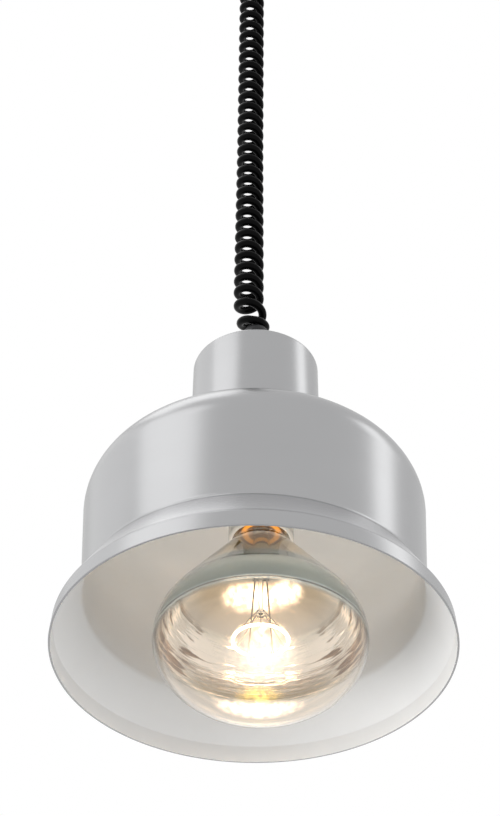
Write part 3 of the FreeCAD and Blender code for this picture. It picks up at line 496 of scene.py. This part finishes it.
# ---------------------------------------------------------------- node helpers
def feed(tree, value, socket):
    """Give a socket a value, or link it to another socket."""
    if isinstance(value, bpy.types.NodeSocket):
        tree.links.new(value, socket)
    elif value is not None:
        socket.default_value = value


def step_node(tree, kind, inputs, **settings):
    """A node with its settings made and its inputs fed, by the order or the name of its sockets."""
    node = tree.nodes.new(kind)
    for setting, value in settings.items():
        setattr(node, setting, value)
    for key, value in inputs.items():
        feed(tree, value, node.inputs[key])
    return node


def maths(tree, operation, *values):
    kind = "ShaderNodeMath"
    return step_node(tree, kind, dict(enumerate(values)), operation=operation).outputs[0]


def remap(tree, value, low, high, to_low, to_high, smooth=False):
    """A value carried from one range to another, and held at its ends."""
    inputs = {"Value": value, "From Min": low, "From Max": high, "To Min": to_low, "To Max": to_high}
    kind = "SMOOTHSTEP" if smooth else "LINEAR"
    return step_node(tree, "ShaderNodeMapRange", inputs, interpolation_type=kind).outputs["Result"]


def blend_color(tree, share, first, second):
    # a mix node's colour sockets come after those for numbers and vectors
    inputs = {"Factor": share, 6: first, 7: second}
    return step_node(tree, "ShaderNodeMix", inputs, data_type="RGBA").outputs[2]


def noise(tree, place, scale, detail=2.0):
    inputs = {"Vector": place, "Scale": scale, "Detail": detail}
    return step_node(tree, "ShaderNodeTexNoise", inputs).outputs["Fac"]


def open_group(name, inputs, outputs):
    """A shader group with named sockets, given as name: (kind, default)."""
    tree = bpy.data.node_groups.new(name, "ShaderNodeTree")
    for label, (kind, value) in inputs.items():
        socket = tree.interface.new_socket(label, in_out="INPUT", socket_type="NodeSocket" + kind)
        socket.default_value = value
    for label, kind in outputs.items():
        tree.interface.new_socket(label, in_out="OUTPUT", socket_type="NodeSocket" + kind)
    return tree, tree.nodes.new("NodeGroupInput").outputs, tree.nodes.new("NodeGroupOutput").inputs


def object_place(tree):
    return tree.nodes.new("ShaderNodeTexCoord").outputs["Object"]


def split(tree, place):
    return step_node(tree, "ShaderNodeSeparateXYZ", {0: place}).outputs


def height_of(tree):
    return split(tree, object_place(tree))["Z"]


def join(tree, *values):
    return step_node(tree, "ShaderNodeCombineXYZ", dict(enumerate(values))).outputs[0]


def about_axis(tree, axis_x):
    """Distance from an upright axis, turn about it from the back, and height."""
    x, y, z = split(tree, object_place(tree))
    across = maths(tree, "SUBTRACT", x, axis_x)
    squares = maths(tree, "ADD", maths(tree, "MULTIPLY", across, across), maths(tree, "MULTIPLY", y, y))
    around = maths(tree, "ABSOLUTE", maths(tree, "ARCTAN2", across, y))
    return maths(tree, "SQRT", squares), around, z


# how dark the finishes' broad patches are, and between which values of their noise they fade in
patch_darkness = 0.55
patch_fade = (0.35, 0.7)
# the patches' noise scale as a share of the finish's own, and how many octaves the noises have
patch_scale = 0.12
turned_patch_scale = 0.06
patch_detail = 3.0
line_detail = 4.0
# how far one radian about the axis carries the noise of turned lines, in metres
line_drift = 0.0025
patch_drift = 0.03
# a streak's share of the mask: at the sides, from the sine of the turn, and above the coat's lower edge
streak_sides = (0.5, 0.85, -0.12, 0.03)
streak_levels = (4 * MM, 12 * MM, 0.0, -0.12)
# mask values between which the brown of the painted reflection streaks fades in
painted_reflection_fade = (0.53, 0.59)
streak_count = 1.3
streak_scale = 250.0
streak_depth = 0.8 * MM
# glare is whole this far out from its middle; how finely it is broken up, and by which values of its noise
glare_core = 0.1
glare_scale = 250.0
glare_breaks = (0.38, 0.62)

finish_inputs = {"Color": ("Color", (0.8, 0.8, 0.8, 1)), "Shade": ("Float", 0.1), "Scale": ("Float", 100.0),
                 "Roughness": ("Float", 0.5), "Spread": ("Float", 0.1)}
finish_outputs = {"Color": "Color", "Roughness": "Float", "Height": "Float"}


def finish_outcome(tree, given, put, broad, fine):
    """Darken the colour in broad patches, and vary the roughness and height finely."""
    dark = step_node(tree, "ShaderNodeVectorMath", {0: given["Color"], "Scale": patch_darkness},
                     operation="SCALE").outputs[0]
    share = maths(tree, "MULTIPLY", remap(tree, broad, *patch_fade, 0.0, 1.0), given["Shade"])
    feed(tree, blend_color(tree, share, given["Color"], dark), put["Color"])
    spread = maths(tree, "MULTIPLY", maths(tree, "SUBTRACT", fine, 0.5), given["Spread"])
    feed(tree, maths(tree, "ADD", given["Roughness"], spread), put["Roughness"])
    feed(tree, fine, put["Height"])


def make_surface_life():
    """Small unevenness of a moulded, painted or fired surface."""
    tree, given, put = open_group("surface_life", finish_inputs, finish_outputs)
    place = object_place(tree)
    broad = noise(tree, place, maths(tree, "MULTIPLY", given["Scale"], patch_scale), patch_detail)
    fine = noise(tree, place, given["Scale"])
    finish_outcome(tree, given, put, broad, fine)
    return tree


def make_turned_lines():
    """Fine rings about an upright axis, as spinning and turning leave them."""
    inputs = dict(finish_inputs, **{"Axis X": ("Float", 0.0)})
    tree, given, put = open_group("turned_lines", inputs, finish_outputs)
    radius, around, z = about_axis(tree, given["Axis X"])
    profile = join(tree, radius, z, maths(tree, "MULTIPLY", around, line_drift))
    patches = join(tree, radius, z, maths(tree, "MULTIPLY", around, patch_drift))
    broad = noise(tree, patches, maths(tree, "MULTIPLY", given["Scale"], turned_patch_scale), patch_detail)
    fine = noise(tree, profile, given["Scale"], line_detail)
    finish_outcome(tree, given, put, broad, fine)
    return tree


def make_level_streaks():
    """Wavy level streaks at the sides of a mirror about an upright axis, and all along its lower edge."""
    inputs = {"Axis X": ("Float", 0.0), "Edge": ("Float", 0.0), "Count": ("Float", streak_count),
              "Scale": ("Float", streak_scale)}
    tree, given, put = open_group("level_streaks", inputs, {"Mask": "Float"})
    _, around, z = about_axis(tree, given["Axis X"])
    level = maths(tree, "SUBTRACT", z, given["Edge"])
    streak = join(tree, maths(tree, "MULTIPLY", around, given["Count"]),
                  maths(tree, "MULTIPLY", level, given["Scale"]))
    side = remap(tree, maths(tree, "SINE", around), *streak_sides, smooth=True)
    low = remap(tree, level, *streak_levels)
    share = maths(tree, "MAXIMUM", side, low)
    feed(tree, maths(tree, "ADD", noise(tree, streak, 1.0, patch_detail), share), put["Mask"])
    return tree


def make_glare_spot():
    """1 in the middle of an ellipsoid and 0 at its skin, finely broken up."""
    inputs = {"Centre": ("Vector", (0.0, 0.0, 0.0)), "Size": ("Vector", (1.0, 1.0, 1.0)),
              "Broken": ("Float", 0.8)}
    tree, given, put = open_group("glare_spot", inputs, {"Mask": "Float"})
    place = object_place(tree)
    kind = "ShaderNodeVectorMath"
    away = step_node(tree, kind, {0: place, 1: given["Centre"]}, operation="SUBTRACT").outputs[0]
    away = step_node(tree, kind, {0: away, 1: given["Size"]}, operation="DIVIDE").outputs[0]
    reach = step_node(tree, kind, {0: away}, operation="LENGTH").outputs["Value"]
    bright = remap(tree, reach, glare_core, 1.0, 1.0, 0.0, smooth=True)
    fine = remap(tree, noise(tree, place, glare_scale, patch_detail), *glare_breaks, -1.0, 1.0)
    broken = maths(tree, "MULTIPLY_ADD", fine, given["Broken"], 1.0)
    feed(tree, maths(tree, "MULTIPLY", bright, broken), put["Mask"])
    return tree


surface_life = make_surface_life()
turned_lines = make_turned_lines()
level_streaks = make_level_streaks()
glare_spot = make_glare_spot()


def finish(name, color, roughness, metallic=0.0, group=None, shade=0.12, scale=160.0, spread=0.1,
           relief=0.1, relief_depth=0.2 * MM, axis_x=None, **sockets):
    """A material whose colour, roughness and relief come from a finish group."""
    material = bpy.data.materials.new(name)
    material.use_nodes = True
    tree = material.node_tree
    shader = tree.nodes["Principled BSDF"]
    shader.inputs["Metallic"].default_value = metallic
    for label, value in sockets.items():
        shader.inputs[label.replace("_", " ")].default_value = value
    look = tree.nodes.new("ShaderNodeGroup")
    look.node_tree = group or surface_life
    values = {"Color": (*color, 1), "Shade": shade, "Scale": scale, "Roughness": roughness, "Spread": spread}
    if axis_x is not None:
        values["Axis X"] = axis_x
    for label, value in values.items():
        look.inputs[label].default_value = value
    tree.links.new(look.outputs["Color"], shader.inputs["Base Color"])
    tree.links.new(look.outputs["Roughness"], shader.inputs["Roughness"])
    bump = step_node(tree, "ShaderNodeBump", {"Strength": relief, "Distance": relief_depth,
                                              "Height": look.outputs["Height"]})
    tree.links.new(bump.outputs["Normal"], shader.inputs["Normal"])
    return material


def shader_of(material):
    return material.node_tree.nodes["Principled BSDF"]


def tint(material, share, color):
    """Blend another colour into a material's own, by a share that varies over it."""
    tree = material.node_tree
    socket = shader_of(material).inputs["Base Color"]
    feed(tree, blend_color(tree, share, socket.links[0].from_socket, (*color, 1)), socket)


# ---------------------------------------------------------------- finishes
def spun_aluminium():
    """Satin aluminium, with a painted highlight that makes the flare brighter."""
    material = finish("spun_aluminium", (0.385, 0.387, 0.392), 0.27, 1.0, turned_lines, shade=0.03,
                      scale=900.0, spread=0.015, relief=0.004, relief_depth=0.1 * MM, axis_x=0.0,
                      Specular_Tint=(0.85, 0.85, 0.85, 1))
    tree = material.node_tree
    height = height_of(tree)
    top, bottom = rim_z + drum_bottom_level, rim_z + lip_height
    below = remap(tree, height, top - flare_top_fade, top, 1.0, 0.0, smooth=True)
    above = remap(tree, height, bottom, bottom + flare_lip_fade, 0.0, 1.0, smooth=True)
    # painted highlight: the flare's colour is lifted to a paler grey between the drum and the lip
    tint(material, maths(tree, "MULTIPLY", below, above), (0.60, 0.60, 0.61))
    return material


def shade_paint():
    """White paint inside the shade, with painted shade making it darker and a little warmer towards the top.
    """
    material = finish("shade_paint", (0.83, 0.83, 0.825), 0.42, scale=500.0, shade=0.03, relief=0.12)
    tree = material.node_tree
    # painted shade: less light reaches the drum's upper inside, so its paint is drawn darker there
    top_shade = remap(tree, height_of(tree), rim_z + paint_shade_from_rim,
                   shade_top_z - paint_shade_to_top, 0.0, 1.0)
    tint(material, top_shade, (0.79, 0.79, 0.765))
    return material


def cord_rubber():
    return finish("cord_rubber", (0.0015, 0.0015, 0.0016), 0.16, shade=0.3, scale=700.0, relief=0.05,
                  relief_depth=0.1 * MM, Specular_IOR_Level=0.06)


def clear_glass(name, color, waves):
    """Clear blown glass that lets light through to what it holds."""
    material = finish(name, color, 0.0, scale=waves, shade=0.04, spread=0.0, relief=0.05,
                      relief_depth=1.0 * MM, Transmission_Weight=1.0, IOR=1.5)
    tree = material.node_tree
    shader = shader_of(material)
    for link in list(shader.inputs["Roughness"].links):
        tree.links.remove(link)
    shader.inputs["Roughness"].default_value = 0.0
    path = tree.nodes.new("ShaderNodeLightPath").outputs
    open_way = tree.nodes.new("ShaderNodeBsdfTransparent")
    share = maths(tree, "MAXIMUM", path["Is Shadow Ray"], path["Is Diffuse Ray"])
    mixed = step_node(tree, "ShaderNodeMixShader",
                      {0: share, 1: shader.outputs[0], 2: open_way.outputs[0]})
    tree.links.new(mixed.outputs[0], tree.nodes["Material Output"].inputs["Surface"])
    return material


def tint_neck(material):
    """Glass tinted brown from the cone's upper part to the cap, and tinted faintly warm in front as painted
    warm light of the filament.
    """
    tree = material.node_tree
    height = height_of(tree)
    start = wide_z + silver_neck_end - silver_fade
    neck = remap(tree, height, start, start + browning_height, 0.0, 1.0, smooth=True)
    # painted light: the warm tint in front stands for the filament's warm light in the dome
    front = remap(tree, height, wide_z - silver_fade, wide_z, 1.0, 0.0, smooth=True)
    tint(material, neck, (0.87, 0.74, 0.54))
    tint(material, front, (0.98, 0.925, 0.855))


def mirror_coat(name, color, reflection_streak_strength, roughness, waves):
    """The bulb's mirror coat, with dark brown streaks painted in as reflections and rippled along them,
    thinning out at its lower edge.
    """
    material = finish(name, color, roughness, 1.0, scale=waves, shade=0.05, spread=0.02, relief=0.1,
                      relief_depth=0.4 * MM)
    tree = material.node_tree
    shader = shader_of(material)
    low, high = wide_z - silver_edge, wide_z + silver_neck_end
    streaks = tree.nodes.new("ShaderNodeGroup")
    streaks.node_tree = level_streaks
    streaks.inputs["Axis X"].default_value = bulb_axis_x
    streaks.inputs["Edge"].default_value = low
    streaks.inputs["Count"].default_value = streak_count
    streaks.inputs["Scale"].default_value = streak_scale
    # painted reflection: the streak mask browns the coat where its sides and lower edge reflect darker things
    share = remap(tree, streaks.outputs["Mask"], *painted_reflection_fade, 0.0, reflection_streak_strength, smooth=True)
    tint(material, share, (0.24, 0.14, 0.07))
    ripples = step_node(tree, "ShaderNodeBump", {"Strength": reflection_streak_strength, "Distance": streak_depth,
                                                 "Height": streaks.outputs["Mask"],
                                                 "Normal": shader.inputs["Normal"].links[0].from_socket})
    tree.links.new(ripples.outputs["Normal"], shader.inputs["Normal"])
    height = height_of(tree)
    lower_fade = remap(tree, height, low, low + silver_fade, 0.0, 1.0, smooth=True)
    upper_fade = remap(tree, height, high - silver_fade, high, 1.0, 0.0, smooth=True)
    feed(tree, maths(tree, "MULTIPLY", lower_fade, upper_fade), shader.inputs["Alpha"])
    return material


def add_glare(material, spots):
    """Paint emission on a surface where the filament's glare is seen in it."""
    tree = material.node_tree
    shader = shader_of(material)
    total = (0.0, 0.0, 0.0)
    for place, size, color, strength, broken in spots:
        spot = tree.nodes.new("ShaderNodeGroup")
        spot.node_tree = glare_spot
        spot.inputs["Centre"].default_value = filament_middle + Vector(place) * MM
        spot.inputs["Size"].default_value = Vector(size) * MM
        spot.inputs["Broken"].default_value = broken
        shine = step_node(tree, "ShaderNodeVectorMath",
                          {0: Vector(color) * strength, "Scale": spot.outputs["Mask"]}, operation="SCALE")
        total = step_node(tree, "ShaderNodeVectorMath", {0: total, 1: shine.outputs[0]}).outputs[0]
    feed(tree, total, shader.inputs["Emission Color"])
    shader.inputs["Emission Strength"].default_value = 1.0
    material.cycles.emission_sampling = "NONE"


def glowing_tungsten():
    material = finish("glowing_tungsten", (0.25, 0.22, 0.2), 0.5, 1.0, scale=900.0)
    tree = material.node_tree
    shader = shader_of(material)
    heat = noise(tree, object_place(tree), tungsten_scale)
    color = blend_color(tree, heat, (1.0, 0.60, 0.30, 1), (1.0, 0.82, 0.60, 1))
    feed(tree, color, shader.inputs["Emission Color"])
    shader.inputs["Emission Strength"].default_value = tungsten_strength
    return material


def heat_disc_metal():
    """Brass disc in the bulb's neck: dark, with a ring of bright gold painted on as its highlight, and dark
    again towards its rim.
    """
    material = finish("heat_disc_brass", (0.13, 0.06, 0.015), 0.3, 1.0, turned_lines, scale=700.0, shade=0.35,
                      axis_x=bulb_axis_x)
    tree = material.node_tree
    radius, _, _ = about_axis(tree, bulb_axis_x)
    # painted highlight: the bright gold ring stands for the light caught on the disc
    tint(material, remap(tree, radius, *disc_highlight_radii, 0.0, 1.0, smooth=True), (0.78, 0.40, 0.04))
    tint(material, remap(tree, radius, *disc_dark_radii, 0.0, 1.0, smooth=True), (0.12, 0.05, 0.015))
    return material


def striped_core():
    """Earth core: green insulation with a yellow stripe."""
    material = finish("striped_core", (0.05, 0.22, 0.05), 0.38, scale=600.0)
    tree = material.node_tree
    side = step_node(tree, "ShaderNodeTexWave", {"Vector": object_place(tree), "Scale": stripe_scale},
                     bands_direction="DIAGONAL").outputs["Fac"]
    tint(material, remap(tree, side, *stripe_edge, 0.0, 1.0), (0.72, 0.62, 0.04))
    return material


outside_metal = spun_aluminium()
inside_paint = shade_paint()
mirror_front = mirror_coat("mirror_front", (0.84, 0.82, 0.79), 0.85, 0.10, 60.0)
mirror_back = mirror_coat("mirror_back", (0.72, 0.80, 0.78), 0.05, 0.26, 60.0)
bulb_clear = clear_glass("bulb_clear_glass", (0.99, 0.99, 0.98), 22.0)
tint_neck(bulb_clear)
add_glare(bulb_clear, glass_glares)
add_glare(mirror_front, coat_glares)

finishes = {
    "satin_aluminium": outside_metal,
    "white_cup": finish("cup_paint", (0.82, 0.82, 0.81), 0.34, scale=420.0, relief=0.1),
    "zinc_steel": finish("zinc_plate", (0.58, 0.58, 0.57), 0.33, 1.0, scale=380.0, shade=0.25),
    "tinned_tag": finish("tin_plate", (0.72, 0.71, 0.68), 0.28, 1.0, scale=300.0, shade=0.2),
    "terminal_plastic": finish("terminal_nylon", (0.80, 0.78, 0.72), 0.5, scale=500.0),
    "brass": finish("turned_brass", (0.72, 0.52, 0.22), 0.26, 1.0, scale=420.0, shade=0.25),
    "grip_plastic": finish("grip_nylon", (0.028, 0.028, 0.03), 0.45, scale=600.0, relief=0.2),
    "cord_sheath": cord_rubber(),
    "live_core": finish("live_core_pvc", (0.20, 0.07, 0.03), 0.38, scale=600.0),
    "neutral_core": finish("neutral_core_pvc", (0.02, 0.10, 0.42), 0.38, scale=600.0),
    "earth_core": striped_core(),
    "gland_plastic": finish("gland_nylon", (0.02, 0.02, 0.022), 0.42, scale=600.0, relief=0.2,
                            Specular_IOR_Level=0.25),
    "seal_rubber": finish("seal_rubber", (0.03, 0.03, 0.03), 0.65, scale=500.0, relief=0.2),
    # painted shade: the porcelain is drawn darker than glazed porcelain, for the holder deep inside the shade
    "porcelain": finish("fired_porcelain", (0.66, 0.63, 0.57), 0.22, scale=240.0, shade=0.08,
                        Coat_Weight=0.6, Coat_Roughness=0.06),
    "bulb_clear": bulb_clear,
    "bulb_inner_glass": clear_glass("stem_glass", (0.96, 0.98, 0.97), 90.0),
    "silvering": mirror_front,
    "cap_brass": finish("rolled_brass", (0.75, 0.55, 0.25), 0.3, 1.0, turned_lines, scale=900.0,
                        axis_x=bulb_axis_x),
    "cap_glass": finish("black_cap_glass", (0.012, 0.012, 0.014), 0.12, scale=200.0),
    "tip_solder": finish("tip_solder", (0.55, 0.55, 0.54), 0.35, 1.0, scale=500.0, relief=0.3),
    "disc_metal": heat_disc_metal(),
    "lead_metal": finish("nickel_wire", (0.50, 0.47, 0.43), 0.3, 1.0, scale=500.0, shade=0.3),
    "filament": glowing_tungsten(),
}


def dress_nodes():
    """Give every solid of the frame the finish of its slot."""
    for node in nodes.values():
        for place in node.material_slots:
            place.material = finishes[place.material.name]


# ---------------------------------------------------------------- filament
def coil_tree():
    """Geometry nodes for a fine coil bent into an open ring."""
    tree = bpy.data.node_groups.new("coiled_coil", "GeometryNodeTree")
    sizes = {"Centre": "Vector", "Ring Radius": "Float", "Coil Radius": "Float", "Wire Radius": "Float",
             "Turns": "Float", "Start": "Float", "Sweep": "Float", "Points": "Int"}
    for label, kind in sizes.items():
        tree.interface.new_socket(label, in_out="INPUT", socket_type="NodeSocket" + kind)
    tree.interface.new_socket("Geometry", in_out="OUTPUT", socket_type="NodeSocketGeometry")
    given = tree.nodes.new("NodeGroupInput").outputs
    share = maths(tree, "DIVIDE", tree.nodes.new("GeometryNodeInputIndex").outputs[0],
                  maths(tree, "SUBTRACT", given["Points"], 1.0))
    around = maths(tree, "MULTIPLY_ADD", share, given["Sweep"], given["Start"])
    twist = maths(tree, "MULTIPLY", maths(tree, "MULTIPLY", share, given["Turns"]), FULL_TURN)
    reach = maths(tree, "MULTIPLY_ADD", maths(tree, "COSINE", twist), given["Coil Radius"],
                  given["Ring Radius"])
    spot = join(tree, maths(tree, "MULTIPLY", reach, maths(tree, "COSINE", around)),
                maths(tree, "MULTIPLY", reach, maths(tree, "SINE", around)),
                maths(tree, "MULTIPLY", maths(tree, "SINE", twist), given["Coil Radius"]))
    spot = step_node(tree, "ShaderNodeVectorMath", {0: spot, 1: given["Centre"]}, operation="ADD")
    line = step_node(tree, "GeometryNodeMeshLine", {"Count": given["Points"]})
    line = step_node(tree, "GeometryNodeMeshToCurve", {0: line.outputs[0]})
    line = step_node(tree, "GeometryNodeSetPosition", {0: line.outputs[0], "Position": spot.outputs[0]})
    wire = step_node(tree, "GeometryNodeCurvePrimitiveCircle",
                     {"Resolution": filament_wire_sides, "Radius": given["Wire Radius"]})
    coil = step_node(tree, "GeometryNodeCurveToMesh",
                     {0: line.outputs[0], 1: wire.outputs[0], "Fill Caps": True})
    coil = step_node(tree, "GeometryNodeRealizeInstances", {0: coil.outputs[0]})
    coil = step_node(tree, "GeometryNodeSetMaterial", {0: coil.outputs[0], "Material": finishes["filament"]})
    tree.links.new(coil.outputs[0], tree.nodes.new("NodeGroupOutput").inputs["Geometry"])
    return tree


def plain_mesh(name, tree, values):
    """The mesh that a geometry tree makes with these values."""
    holder = new_object(name + "_maker", bpy.data.meshes.new(name + "_maker"))
    modifier = holder.modifiers.new("maker", "NODES")
    modifier.node_group = tree
    for item in tree.interface.items_tree:
        if item.in_out == "INPUT":
            modifier[item.identifier] = values[item.name]
    graph = bpy.context.evaluated_depsgraph_get()
    mesh = bpy.data.meshes.new_from_object(holder.evaluated_get(graph))
    mesh.name = name
    bpy.data.objects.remove(holder)
    return new_object(name, mesh)


def make_filament():
    sweep = FULL_TURN - filament_gap
    turns = round(sweep * filament_ring_radius / filament_coil_pitch)
    values = {"Centre": filament_middle, "Ring Radius": filament_ring_radius,
              "Coil Radius": filament_coil_radius, "Wire Radius": filament_wire_radius,
              "Turns": float(turns), "Start": filament_gap_side + filament_gap / 2, "Sweep": sweep,
              "Points": turns * filament_coil_points + 1}
    piece = plain_mesh("filament_coil", coil_tree(), values)
    for face in piece.data.polygons:
        face.use_smooth = True
    piece.visible_diffuse = False
    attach(piece, "bulb")
    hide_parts("bulb_filament")


# ---------------------------------------------------------------- light and surroundings
def make_softbox(name, azimuth, elevation, distance, size, radiance):
    """A soft light that shines on the shade; its radiance is what a mirror would show."""
    light = bpy.data.lights.new(name, "AREA")
    light.shape = "RECTANGLE"
    light.size, light.size_y = size
    light.energy = radiance * math.pi * size[0] * size[1]
    softbox = new_object(name, light)
    turn, rise = math.radians(azimuth), math.radians(elevation)
    way = Vector((math.sin(turn) * math.cos(rise), -math.cos(turn) * math.cos(rise), math.sin(rise)))
    softbox.location = lamp_centre + way * distance
    softbox.rotation_mode = "QUATERNION"
    softbox.rotation_quaternion = way.to_track_quat("Z", "Y")
    softbox.visible_camera = False
    softbox.visible_transmission = False
    return softbox


def make_inner_light(name, place, radius, energy, color):
    """Light that the bulb sheds on the paint and the ceramic about it."""
    light = bpy.data.lights.new(name, "POINT")
    light.shadow_soft_size = radius
    light.energy = energy
    light.color = color
    spot = new_object(name, light)
    spot.location = place
    spot.visible_camera = False
    spot.visible_transmission = False
    spot.visible_glossy = False
    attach(spot, "bulb")


def seen_directly(tree):
    """1 where the camera, a mirror or clear glass looks at a surface."""
    path = tree.nodes.new("ShaderNodeLightPath").outputs
    shiny = maths(tree, "MAXIMUM", path["Is Glossy Ray"], path["Is Transmission Ray"])
    return maths(tree, "MAXIMUM", path["Is Camera Ray"], shiny)


def make_world():
    world = bpy.data.worlds.new("studio")
    bpy.context.scene.world = world
    world.use_nodes = True
    tree = world.node_tree
    light = tree.nodes["Background"]
    light.inputs["Color"].default_value = (1, 1, 1, 1)
    feed(tree, remap(tree, seen_directly(tree), 0.0, 1.0, world_light, 1.0), light.inputs["Strength"])


def floor_paint():
    """Pale floor that keeps the shadow under the lamp and runs out into white."""
    material = finish("floor_paint", (0.82, 0.82, 0.82), 0.7, scale=40.0, shade=0.03, relief=0.05)
    tree = material.node_tree
    shader = shader_of(material)
    reach, _, _ = about_axis(tree, 0.0)
    away = remap(tree, reach, *floor_whitens, 0.0, 1.0, smooth=True)
    white = step_node(tree, "ShaderNodeEmission", {"Color": (1, 1, 1, 1), "Strength": 1.0})
    shown = step_node(tree, "ShaderNodeMixShader",
                      {0: maths(tree, "MULTIPLY", away, seen_directly(tree)), 1: shader.outputs[0],
                       2: white.outputs[0]})
    below = tree.nodes.new("ShaderNodeNewGeometry").outputs["Backfacing"]
    open_way = tree.nodes.new("ShaderNodeBsdfTransparent")
    one_sided = step_node(tree, "ShaderNodeMixShader",
                          {0: below, 1: shown.outputs[0], 2: open_way.outputs[0]})
    tree.links.new(one_sided.outputs[0], tree.nodes["Material Output"].inputs["Surface"])
    return material


def make_floor():
    mesh = bpy.data.meshes.new("floor")
    corners = [(x * floor_reach, y * floor_reach, floor_z) for x, y in ((-1, -1), (1, -1), (1, 1), (-1, 1))]
    mesh.from_pydata(corners, [], [(0, 1, 2, 3)])
    mesh.materials.append(floor_paint())
    new_object("floor", mesh)


def make_lights():
    make_world()
    for box in softboxes:
        make_softbox(*box)
    for fill in low_fills:
        make_softbox(*fill).visible_glossy = False
    x, y, z = neck_glow_offset
    make_inner_light("filament_glow", filament_middle, *filament_glow)
    make_inner_light("neck_glow", Vector((bulb_axis_x + x, y, cap_z + z)), *neck_glow)


# ---------------------------------------------------------------- the scene
make_camera()
cord = make_cord()
cord.data.materials.append(finishes["cord_sheath"])
dress_nodes()
make_shade(outside_metal, inside_paint)
make_neck(outside_metal, outside_metal)
make_bulb_glass(bulb_clear)
make_silvering(mirror_front, mirror_back)
make_filament()
make_floor()
make_lights()

bpy.context.scene.view_settings.view_transform = "Standard"
